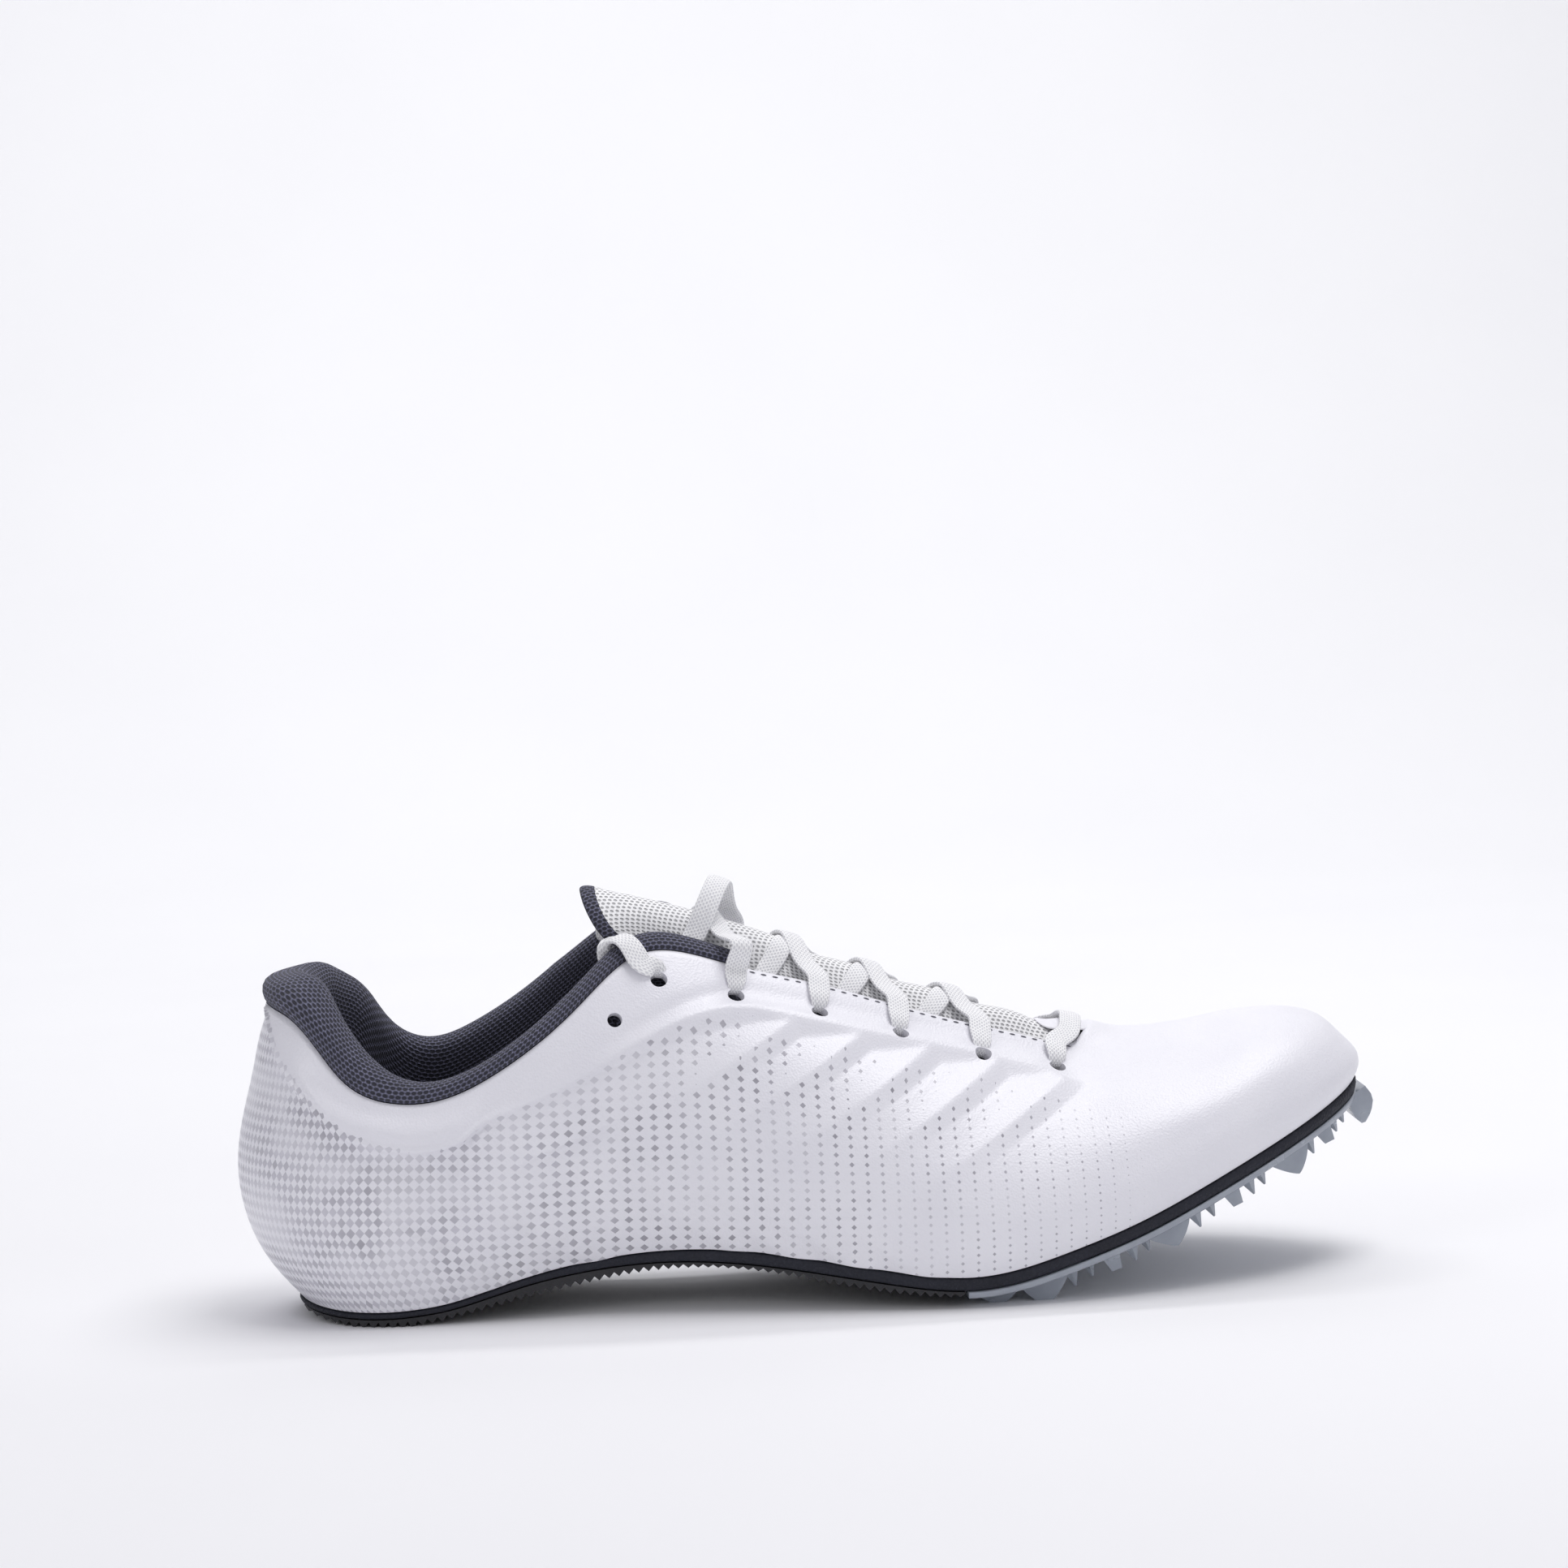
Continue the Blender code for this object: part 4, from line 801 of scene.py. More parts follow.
def pleats(x, z):
    """Slanted pleats below the panel's line: how high each point stands, and its place on a slope, 0 to 1."""
    below = read_line(PANEL_LINE, x) - z - 3.2
    ahead, up = x - PLEAT_START[0], z - PLEAT_START[1]
    across = ahead * math.sin(PLEAT_SLANT) - up * math.cos(PLEAT_SLANT)
    number = np.floor(across / PLEAT_PITCH)
    pleated = (number >= 0) * (number <= LAST_PLEAT)
    inside = across - number * PLEAT_PITCH
    slope = np.clip((inside - PLEAT_TROUGH) / (PLEAT_PITCH - PLEAT_TROUGH), 0, 1)
    slope = slope * (number >= -1) * (number < LAST_PLEAT)
    fall = np.clip(1 - inside / PLEAT_TROUGH, 0, 1) * pleated
    bent = slope ** (1 + 1.3 * smooth(below / 15))
    lip = 0.07 * smooth((inside - PLEAT_TROUGH) / 0.5) * pleated * (1 - smooth((inside - 5) / 3))
    fade = (0.34 + 0.66 * (1 - smooth((below - 3) / 15))) * (1 - smooth((below - 20) / 14))
    fade = fade * smooth((x - 94) / 24) * (below > -3.2)
    return (bent + fall + lip) * fade, slope * fade


def relief(x, z, from_edge):
    """Millimetres over the last at points beside the shoe. From_edge is the way to the open edge."""
    line, foot = read_line(PANEL_LINE, x), panel_foot(x)
    rise = np.interp(x, *PANEL_RISE.T)
    along_ridge = smooth((x - 84) / 18) * (1 - smooth((x - 196) / 12))
    bead = BEAD_HEIGHT * along_ridge
    over = z - line
    above = rise + bead * (1 - smooth(over / 3.6)) - BEAD_TROUGH * hump(over, 4.6, 1.7) * along_ridge
    height = np.where(over > 0, above, (rise + bead) * np.clip((z - foot) / (line - foot), 0, 1))
    height = np.maximum(height, PLEAT_HEIGHT * pleats(x, z)[0])
    height += HEEL_LIP * hump(over, 0.6, 0.75) * (1 - smooth((x - 60) / 12))
    height += HEEL_BULGE * hump(over, 4.2, 3.4) * smooth((x - 14) / 10) * (1 - smooth((x - 52) / 12))
    height += BEAD_LIP * hump(over, 0.9, 0.8) * along_ridge
    for fold in FOLDS:
        height += fold_height(x, z, fold)
    height -= SEAM_DEPTH * hump(from_edge, 1.5, 0.45) * (x > 128)
    return height - EDGE_DROP * (1 - smooth(from_edge / 1.1))


print("folds:", len(FOLDS), "and", LAST_PLEAT + 1, "pleats on each side")

# %% Print: spacing, size and tone of the diamonds
COLUMN_PITCH = np.array([(0, 1.75), (40, 2.0), (90, 3.3), (160, 3.8), (320, 3.9)])
ROW_PITCH = np.array([(0, 2.7), (40, 2.55), (70, 2.4), (110, 2.5), (150, 2.1), (200, 1.8)])
HALF_WIDTH = np.array([
    (0, 0.53), (36, 0.51), (60, 0.42), (100, 0.31), (130, 0.23), (160, 0.15), (190, 0.11), (212, 0.08),
    (224, 0),
])
HALF_HEIGHT = np.array([
    (0, 0.53), (36, 0.51), (60, 0.44), (100, 0.36), (130, 0.33), (160, 0.28), (190, 0.23), (212, 0.18),
    (224, 0),
])
TONE = np.array([(0, 0.12), (40, 0.16), (90, 0.30), (230, 0.36)])
PRINT_OVER = np.array([(0, 3.2), (25, 2.6), (50, 0.0), (100, -0.4), (125, -1.0), (135, -4.2), (210, -5.0)])
SHADES = (
    # x, z, reach along, reach up, how much darker
    (42, 37, 9, 5, 0.45), (26, 50, 9, 6, 0.18), (114, 61, 13, 6, 0.45), (86, 46, 14, 4, 0.25),
    (78, 14, 26, 5, 0.25), (124, 20, 26, 9, 0.22), (36, 19, 9, 6, 0.15), (165, 47, 22, 9, 0.35),
    (74, 40, 14, 6, -0.18), (58, 24, 10, 7, -0.15), (14, 30, 9, 14, -0.08),
)


def print_values(x, z, run, side):
    """Lattice place and dot values at points: columns and rows counted from the heel and the floor."""
    fine = np.arange(0, 420, 0.5)
    columns = np.concatenate([[0], np.cumsum(0.5 / np.interp(fine, *COLUMN_PITCH.T))[:-1]])
    column = np.interp(run, fine, columns) * -side
    row = (z - 20) / np.interp(x, *ROW_PITCH.T)
    pressed = 1 - 0.95 * smooth((pleats(x, z)[1] - 0.22) / 0.35)
    inside = smooth((read_line(PANEL_LINE, x) + np.interp(x, *PRINT_OVER.T) - z) / 0.7 + 0.5)
    tone = np.interp(x, *TONE.T)
    for cx, cz, rx, rz, dark in SHADES:
        tone += dark * np.exp(-(((x - cx) / rx) ** 2) - ((z - cz) / rz) ** 2)
    place = np.stack([column, row, np.zeros(len(x))], axis=1)
    halves = [np.interp(x, *half.T) * pressed * inside for half in (HALF_WIDTH, HALF_HEIGHT)]
    return place, np.stack([*halves, np.clip(tone, 0, 1)], axis=1)


print("diamonds from", float(COLUMN_PITCH[0, 1]), "to", float(COLUMN_PITCH[-1, 1]), "mm apart")


# %% Grid of the upper
def grid_stations(count):
    """Stations along the last, closer beside the pleats, and the length of the widest line up to each."""
    fine = all_stations(1200)
    run = run_length(np.array([last(s, [2])[0] for s in fine]))
    close = 1 + 1.2 * smooth((fine - 0.31) / 0.05) * (1 - smooth((fine - 0.72) / 0.05))
    crowd = np.concatenate([[0], np.cumsum(np.diff(run) * (close[1:] + close[:-1]) / 2)])
    stations = np.interp(np.linspace(0, crowd[-1], count), crowd, fine)
    return stations, np.interp(stations, fine, run)


def side_rows(station, side):
    """Places on one side of a section, closer together at the panel's foot, at its line and at the top."""
    top, sole = side_ends(side)
    places = np.linspace(sole, top, 161)
    points = last(station, places)
    run = run_length(points)
    x, z = points[:, 0] / MM + LENGTH / MM / 2, points[:, 2] / MM
    marks = []
    for height in (panel_foot(x), read_line(PANEL_LINE, x)):
        over = z - height
        above = np.flatnonzero(over >= 0)
        k = above[0] if len(above) else 160
        share = np.clip(over[k - 1] / (over[k - 1] - over[k]), 0, 1)
        marks.append(run[k - 1] + (run[k] - run[k - 1]) * share)
    line = min(marks[1], run[-1] - 1.8 * MM)
    foot = min(marks[0], line - 0.9 * MM)
    last_step = min(1.1 * MM / (run[-1] - line), 0.4)
    ways = np.concatenate([
        foot * np.concatenate([np.linspace(0, 0.42, 13), np.linspace(0.42, 1, 38)[1:]]),
        foot + (line - foot) * np.linspace(0, 1, 5)[1:],
        line + (run[-1] - line) * np.concatenate([(1 - last_step) * np.linspace(0, 1, 21)[1:] ** 1.15,
                                                  [1 - last_step * 0.45, 1]]),
    ])
    return np.interp(ways, run, places), run[-1] - ways, ways


def upper_grid(count):
    """Points of the upper's outer face with the values that its relief and print need, and the faces."""
    stations, along_sole = grid_stations(count)
    throat = int(np.argmin(abs(stations - THROAT_FRONT)))
    points, facts, index, faces = [], [], {}, []
    for i, station in enumerate(stations):
        for side in (-1, 1):
            places, from_top, ways = side_rows(station, side)
            closing = side > 0 and i in (0, count - 1)
            from_edge = from_top if i < throat else np.full(len(places), 1.0)
            for j, point in enumerate(last(station, places)):
                index[i, side, j] = len(points)
                points.append(points[index[i, -1, j]] if closing else point)
                facts.append((side, along_sole[i], from_edge[j], ways[j]))
        if i >= throat:
            inner = np.linspace(LATERAL_TOP, MEDIAL_TOP, 33)[1:-1]
            round_off = 5.5 * MM * (1 - float(smooth((station - stations[throat]) / 0.07)))
            for j, point in enumerate(last(station, inner)):
                index[i, 0, j] = len(points)
                mirrored = points[index[i, 0, 30 - j]] if i == count - 1 and j > 15 else None
                rounded = point + np.array((round_off * (1 - (inner[j] - RIDGE_TOP) ** 2), 0, 0))
                points.append(rounded if mirrored is None else mirrored)
                facts.append((-1, along_sole[i], 1.0 if i > throat + 1 else 0.0011 * (i - throat), ways[-1]))
    rows = max(key[2] for key in index if key[1] == 1) + 1
    for i in range(count - 1):
        for side in (-1, 1):
            for j in range(rows - 1):
                face = [index[i, side, j], index[i + 1, side, j]]
                face += [index[i + 1, side, j + 1], index[i, side, j + 1]]
                faces.append(face if side < 0 else face[::-1])
        if i >= throat:
            near, far = (
                [index[k, -1, rows - 1]] + [index[k, 0, j] for j in range(31)] + [index[k, 1, rows - 1]]
                for k in (i, i + 1)
            )
            faces += [[near[j], far[j], far[j + 1], near[j + 1]] for j in range(32)]
    return np.array(points), np.array(facts), faces


UPPER_POINTS, UPPER_FACTS, UPPER_FACES = upper_grid(264)
print("upper grid:", len(UPPER_POINTS), "points and", len(UPPER_FACES), "faces")


# %% Upper sheet with its relief and print values
def ironed(mesh, mask, rounds):
    """Points moved towards the middle of their neighbours, as far as the mask says, in many rounds."""
    count = len(mesh.vertices)
    points, ends = np.empty(count * 3), np.empty(len(mesh.edges) * 2, dtype=np.int32)
    mesh.vertices.foreach_get("co", points)
    mesh.edges.foreach_get("vertices", ends)
    points, ends = points.reshape(-1, 3), ends.reshape(-1, 2)
    start, end = np.concatenate([ends[:, 0], ends[:, 1]]), np.concatenate([ends[:, 1], ends[:, 0]])
    neighbours = np.maximum(np.bincount(start, minlength=count), 1)
    for _ in range(rounds):
        middle = [np.bincount(start, points[end, axis], count) / neighbours for axis in range(3)]
        points = points + (np.stack(middle, axis=1) - points) * 0.5 * mask[:, None]
    return points


IRONING_ROUNDS = 70


def make_upper_sheet():
    """One open sheet on the last, merged at heel and toe, ironed at the toe and pushed out by the relief."""
    mesh = bpy.data.meshes.new("upper_shell")
    mesh.from_pydata([tuple(p) for p in UPPER_POINTS], [], UPPER_FACES)
    for column, name in enumerate(("side", "run", "edge", "way")):
        keep_values(mesh, name, UPPER_FACTS[:, column])
    form = bmesh.new()
    form.from_mesh(mesh)
    bmesh.ops.remove_doubles(form, verts=form.verts, dist=0.01 * MM)
    form.to_mesh(mesh)
    form.free()
    count = len(mesh.vertices)
    facts = {}
    for name in ("side", "run", "edge", "way"):
        facts[name] = np.empty(count)
        mesh.attributes[name].data.foreach_get("value", facts[name])
        mesh.attributes.remove(mesh.attributes[name])
    points, out = np.empty(count * 3), np.empty(count * 3)
    mesh.vertices.foreach_get("co", points)
    from_heel = points[::3] / MM + LENGTH / MM / 2
    toe, over_sole = smooth((from_heel - 246) / 14), smooth((facts["way"] / MM - 5) / 8)
    points = ironed(mesh, toe * over_sole, IRONING_ROUNDS)
    mesh.vertices.foreach_set("co", points.ravel())
    mesh.update()
    mesh.vertex_normals.foreach_get("vector", out)
    out = out.reshape(-1, 3)
    x, z = points[:, 0] / MM + LENGTH / MM / 2, points[:, 2] / MM
    height = relief(x, z, facts["edge"] / MM) * MM
    mesh.vertices.foreach_set("co", (points + out * height[:, None]).ravel())
    place, dot = print_values(x, z, facts["run"] / MM, facts["side"])
    keep_values(mesh, "print_place", place)
    keep_values(mesh, "print_dot", dot)
    keep_values(mesh, "cloth_place", np.stack([facts["run"], facts["way"], np.zeros(count)], axis=1))
    return mesh, (WALL + height) / (3 * WALL)


UPPER_MESH, WALL_SHARES = make_upper_sheet()
print("relief up to", round((WALL_SHARES.max() * 3 - 1) * WALL / MM, 2), "mm")

# %% Wall and eyelets
EYELET_RADIUS = 1.8 * MM
EYELET_INSET = 10 * MM
LACED_EYELET_WIDER = 1.16
EYELETS = {
    "x": (0.33, 0.369, 0.434, 0.505, 0.573, 0.644, 0.71),
    "inset": (1.25, 0.86, 0.96, 1.0, 1.1, 1.18, 1.1),
}


def eyelet_frames():
    """Centre and outward normal of each eyelet: seven lateral ones, then seven medial ones."""
    frames = []
    for side in (-1, 1):
        for station, inset in zip(EYELETS["x"], EYELETS["inset"]):
            place, point = place_below_top(station, side, EYELET_INSET * inset)
            frames.append((Vector(point), Vector(last_normals(station, [place])[0])))
    return frames


def make_drills():
    """Fourteen short round cutters, one through each eyelet. The laced ones are pulled a little wider."""
    form = bmesh.new()
    for index, (centre, out) in enumerate(eyelet_frames()):
        radius = EYELET_RADIUS * (1.0 if index % len(EYELETS["x"]) == 0 else LACED_EYELET_WIDER)
        turn = out.to_track_quat("Z", "Y").to_matrix().to_4x4()
        bmesh.ops.create_cone(form, cap_ends=True, segments=24, radius1=radius, radius2=radius,
                              depth=9 * MM, matrix=Matrix.Translation(centre) @ turn)
    mesh = bpy.data.meshes.new("eyelet_drills")
    form.to_mesh(mesh)
    form.free()
    return add_object("eyelet_drills", mesh)


def make_upper():
    """The sheet with its wall, which is as thick as each point's share says, and its eyelets."""
    upper = add_object("upper_shell", UPPER_MESH, UPPER_FINISH)
    upper.data.materials.append(LINING_KNIT)
    upper.data.shade_smooth()
    group = upper.vertex_groups.new(name="wall")
    for point, share in enumerate(WALL_SHARES):
        group.add([point], float(share), "REPLACE")
    wall = upper.modifiers.new("wall", "SOLIDIFY")
    wall.thickness = 3 * WALL
    wall.offset = -1
    wall.vertex_group = "wall"
    wall.material_offset = 1
    drills = make_drills()
    holes = upper.modifiers.new("eyelets", "BOOLEAN")
    holes.operation = "DIFFERENCE"
    holes.solver = "MANIFOLD"
    holes.object = drills
    apply_modifiers(upper)
    bpy.data.objects.remove(drills)
    upper.data.set_sharp_from_angle(angle=math.radians(50))
    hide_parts("upper")
    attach(upper, BODY)
    return upper


upper = make_upper()
print("upper:", len(upper.data.polygons), "faces")

# %% [markdown]
# ## Collar and lining
# The collar is a roll of foam in knit cloth. It sits on the upper's edge, stands highest at the heel and runs
# out on the eyestay, and its cloth goes on as the lining down to the insole. A ring of points round the roll
# and down the lining, at each station, makes it one closed padded form. A smooth closed curve through the ring
# takes away its corners, and the lengths along and round the cloth are kept for the knit.

# %% Tables of the collar
OVERLAY_STEP = 0.6 * MM
COLLAR_ROLL, COLLAR_PAD, COLLAR_END = 4.5 * MM, 4.2 * MM, 0.437
LINING_DEPTH, LINING_GAP = 24 * MM, 0.9 * MM
COLLAR_AROUND, COLLAR_CREST = 80, 12
COLLAR = {
    "x": (0.049, 0.08, 0.115, 0.15, 0.20, 0.26, 0.32, 0.37, 0.437),
    "roll": (2.25, 2.55, 2.25, 1.45, 1.15, 1.2, 1.4, 1.4, 1.25),
    "pad": (1.8, 1.7, 1.45, 1.15, 1.0, 0.9, 0.55, 0.33, 0.3),
    "lining": (0.5, 0.6, 0.82, 1.0, 1.0, 0.85, 0.45, 0.2, 0.2),
}


def lining_reach(station, side):
    """How far the lining runs down: to the insole at the heel, and a little way at the throat."""
    top, sole = side_ends(side)
    whole = run_length(last(station, np.linspace(top, sole, 40)))[-1] - 13 * MM
    short = LINING_DEPTH * table(COLLAR, "lining", station)
    return whole + (short - whole) * float(smooth((station - 0.24) / 0.09))


def collar_section(station, side):
    """Ring of the padded collar at a station: round the roll, down the lining and back up beside the wall."""
    roll = COLLAR_ROLL * table(COLLAR, "roll", station)
    if side > 0:
        roll *= 1 + 0.35 * hump(station, 0.105, 0.022) + 0.9 * hump(station, 0.38, 0.03)
        roll *= 1 - 0.2 * hump(station, 0.17, 0.03)
    overhang = 0.13 + 0.13 * (1 - float(smooth((station - 0.06) / 0.06)))
    pad = COLLAR_PAD * table(COLLAR, "pad", station)
    depth = lining_reach(station, side)
    inner = WALL + LINING_GAP
    top = side_ends(side)[0]
    edge = last(station, [top])[0]
    out = last_normals(station, [top])[0]
    up = unit(last(station, [top - 0.02 * side])[0] - edge)
    ring = []
    for share, level in ((0, 0.0), (-overhang, 0.42), (0.06, 0.80), (0.42, 1.0), (0.8, 0.86), (1.0, 0.5)):
        reach = share * (inner + pad + OVERLAY_STEP) - OVERLAY_STEP
        ring.append(edge - out * reach + up * (roll * level + GAP))
    for share, thick in ((0.06, 1.0), (0.25, 0.85), (0.55, 0.5), (0.8, 0.3), (1.0, 0.12)):
        place, point = place_below_top(station, side, depth * share)
        ring.append(point - last_normals(station, [place])[0] * (inner + pad * thick + 0.5 * MM))
    for share in (1.0, 0.82, 0.62, 0.42, 0.24, 0.08):
        place, point = place_below_top(station, side, depth * share)
        ring.append(point - last_normals(station, [place])[0] * inner)
    ring.append(edge - out * inner + up * GAP)
    return np.array(ring)


def round_ring(ring, count):
    """Smooth closed curve through a ring of points."""
    looped = np.concatenate([ring[-3:], ring, ring[:3]])
    knots = np.concatenate([[0], np.cumsum(np.sqrt(np.linalg.norm(np.diff(looped, axis=0), axis=1)))])
    start, end = knots[3], knots[3 + len(ring)]
    return spline(knots, looped, np.linspace(start, end, count, endpoint=False))


print("the roll is", round(COLLAR_ROLL * 2.25 / MM, 1), "mm high at the heel")


# %% Collar
def make_collar():
    """Rings from the lateral side round the heel to the medial side, with three smaller ones on each end."""
    fine = np.linspace(HEEL_START, COLLAR_END, 400)
    run = run_length(np.array([last(s, [LATERAL_TOP])[0] for s in fine]))
    stations = np.interp(np.linspace(0, run[-1], 112), run, fine)
    rings = [collar_section(s, -1) for s in stations[::-1]]
    rings += [collar_section(s, 1) for s in stations[1:]]
    rings = [round_ring(ring, COLLAR_AROUND) for ring in rings]
    for shrink in (0.8, 0.45, 0.1):
        first, final = rings[0], rings[-1]
        rings.insert(0, first.mean(axis=0) + (first - first.mean(axis=0)) * shrink + (first - rings[1]) * 0.5)
        rings.append(final.mean(axis=0) + (final - final.mean(axis=0)) * shrink + (final - rings[-2]) * 0.5)
    mesh = ring_mesh("knit_collar", rings)
    keep_cloth_place(mesh, rings, COLLAR_CREST)
    face_outwards(mesh)
    collar = add_object("knit_collar", mesh, COLLAR_KNIT)
    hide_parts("collar")
    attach(collar, BODY)
    return collar


collar = make_collar()
print("collar:", len(collar.data.polygons), "faces")

# %% [markdown]
# ## Tongue
# The tongue lies under the eyestays and stands up behind them with a rounded top. Its face is an open white
# mesh over foam, and a slate binding wraps its top edge and its underside. Its sides are slate too: binding
# where the tongue stands free, and painted shade under the eyestays, where they show only through the eyelets.
# It is one padded slab: its face swells a little between the crossings of the lace, and its sides thin out
# where the eyestays press.

# %% Tongue
TONGUE_THICK, TONGUE_GAP = 2.4 * MM, 0.7 * MM
TONGUE_FRONT, TONGUE_BACK = THROAT_FRONT + 0.05, 0.312
TONGUE_EDGE, TONGUE_BINDING = 1.28, 4.2 * MM
TONGUE_SWELL = np.array([
    (0.31, 0.8), (0.345, 2.0), (0.373, 2.4), (0.40, 2.6), (0.44, 3.4), (0.50, 1.8), (0.69, 1.4), (0.73, 0.0),
])
LACED = EYELETS["x"][1:]


def tongue_depth(station, place):
    """How far the tongue's face lies under the last's surface."""
    off_centre = abs(place - RIDGE_TOP)
    near_collar = 1 - float(smooth((station - COLLAR_END + 0.01) / 0.06))
    padding = COLLAR_PAD * table(COLLAR, "pad", min(max(station, 0.30), COLLAR_END)) + 1.2 * MM
    pressed = 1.3 * MM * float(smooth((off_centre - 0.72) / 0.22))
    swollen = np.interp(station, *TONGUE_SWELL.T) * MM
    swollen *= 1 - float(smooth((off_centre - 0.3) / 0.5))
    return WALL + TONGUE_GAP + pressed - swollen + padding * near_collar * float(smooth(off_centre / 0.9))


def make_tongue():
    """Slab of rings from the toe end to the rounded top, in mesh with a slate binding; its slate sides are
    painted shade under the eyestays.
    """
    across = np.linspace(-1, 1, 41)
    rounding = 0.96 + 0.04 * np.sin(np.linspace(0, math.pi / 2, 15)[1:])
    steps = np.concatenate([np.linspace(0, 0.96, 118), rounding])
    rings = []
    for step in steps:
        face, under = [], []
        for share in across:
            station = TONGUE_FRONT + (TONGUE_BACK + 0.10 * abs(share) ** 2.5 - TONGUE_FRONT) * step
            reach = TONGUE_EDGE - 0.16 * float(smooth((0.40 - station) / 0.06))
            place = RIDGE_TOP + share * reach
            point = last(station, [place])[0]
            out = last_normals(station, [place])[0]
            row = np.interp(station, LACED, range(len(LACED)))
            swell = 0.35 * MM * math.cos(2 * math.pi * row) * (1 - abs(share) ** 2)
            close = math.sqrt(max(0.0, 1 - float(np.clip((step - 0.975) / 0.025, 0, 1)) ** 2))
            depth = tongue_depth(station, place) + swell * (0.42 < station < 0.7)
            thin = TONGUE_THICK * (1 - 0.45 * abs(share) ** 3)
            thin = thin * (1 + 0.45 * float(smooth((step - 0.93) / 0.04)))
            face.append(point - out * (depth + thin * 0.5 * (1 - close)))
            under.append(point - out * (depth + thin * (0.5 + 0.5 * close)))
        rings.append(face + under[::-1])
    mesh = ring_mesh("mesh_tongue", rings)
    lengths = keep_cloth_place(mesh, rings, len(across) // 2)
    mesh.materials.append(TONGUE_MESH)
    mesh.materials.append(COLLAR_KNIT)
    edge = lengths[-1] - TONGUE_BINDING
    count = 2 * len(across)
    for face in mesh.polygons:
        ring, column = divmod(face.vertices[0], count)
        at = lengths[ring]
        aside = min(column, count - 1 - column)
        # Slate sides: real binding where the tongue stands free, painted shade under the eyestays so that the
        # eyelets look dark.
        side_binding_and_shade = aside < 5 or aside > len(across) - 7
        below = column >= len(across) - 1 and at > 0.5 * edge
        face.material_index = 1 if at > edge or below or side_binding_and_shade else 0
    face_outwards(mesh)
    tongue = add_object("mesh_tongue", mesh)
    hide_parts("tongue")
    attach(tongue, BODY)
    return tongue


tongue = make_tongue()
print("tongue:", len(tongue.data.polygons), "faces")

# %% [markdown]
# ## Lace
# One flat woven lace runs from a bar at the toe up to the ankle. Out of each eyelet it climbs over the edge of
# the eyestay, crosses the tongue towards the heel and dives under the far edge. In the hole it is squeezed
# narrow. A band with its own width and thickness at each point follows that way, and its upward direction is
# given at each point, so that it never twists. Its two ends go over the collar and down inside. A small white
# tab strengthens the vamp's edge under the first run of the lace.

# %% Band along a line
LACE_WIDTH, LACE_THICK, LACE_LIFT = 5.6 * MM, 1.25 * MM, 2.1 * MM
BAND_AROUND = 18


def make_band(name, knots, count):
    """Lace along knots of x, y, z, the upward direction, width and thickness: eight numbers each."""
    line = smooth_line(np.asarray(knots, float), count)
    points, ups, widths, thicks = line[:, :3], unit(line[:, 3:6]), line[:, 6], line[:, 7]
    runs = unit(np.gradient(points, axis=0))
    across = unit(np.cross(ups, runs))
    ups = np.cross(runs, across)
    turns = np.linspace(0, 2 * math.pi, BAND_AROUND, endpoint=False)
    wide = np.sign(np.cos(turns)) * np.abs(np.cos(turns)) ** 0.55 / 2
    tall = np.sign(np.sin(turns)) * np.abs(np.sin(turns)) ** 0.8 / 2
    rings = points[:, None] + across[:, None] * (wide[None, :, None] * widths[:, None, None])
    rings = rings + ups[:, None] * (tall[None, :, None] * thicks[:, None, None])
    mesh = ring_mesh(name, rings)
    along = np.repeat(run_length(points), BAND_AROUND)
    place = np.stack([along, np.tile(wide * LACE_WIDTH, count), np.zeros(len(along))], axis=1)
    keep_values(mesh, "cloth_place", place)
    face_outwards(mesh)
    band = add_object(name, mesh, LACE_WEAVE)
    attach(band, BODY)
    return band, points


print("a lace is", round(LACE_WIDTH / MM, 1), "by", round(LACE_THICK / MM, 2), "mm")


# %% Way of the lace
def knot(point, up, width=1.0, thick=1.0):
    """One knot of the lace. Width and thickness are shares of the flat lace's own."""
    return (*point, *up, LACE_WIDTH * width, LACE_THICK * thick)


def over_last(station, place, height):
    """Point at a height over the last, and the last's outward direction there."""
    out = last_normals(station, [place])[0]
    return last(station, [place])[0] + out * height, out


def out_of_eyelet(row, side):
    """Knots from inside the shoe through an eyelet and up to the edge of the eyestay."""
    station = LACED[row]
    top = side_ends(side)[0]
    hole = place_below_top(station, side, EYELET_INSET * EYELETS["inset"][row + 1])[0]
    rise = np.interp(station, (0.40, 0.46), (0.9, 1.5)) * MM
    point, out = over_last(station, hole, 0.0)
    to_edge = unit(over_last(station, hole + (top - hole) * 0.3, 0.0)[0] - point)
    lie = unit(out * 0.25 - to_edge)
    made = [
        knot(point - out * 2.6 * MM + to_edge * 4.8 * MM, lie, 0.46, 0.6),
        knot(point - out * 0.9 * MM + to_edge * 1.9 * MM, lie, 0.5, 0.6),
        knot(point + out * 1.1 * MM + to_edge * 2.6 * MM, unit(out - to_edge), 0.72, 0.75),
    ]
    for share, width in ((0.45, 0.92), (0.68, 1.0)):
        point, out = over_last(station, hole + (top - hole) * share, rise + 0.45 * MM)
        made.append(knot(point, out, width))
    return made


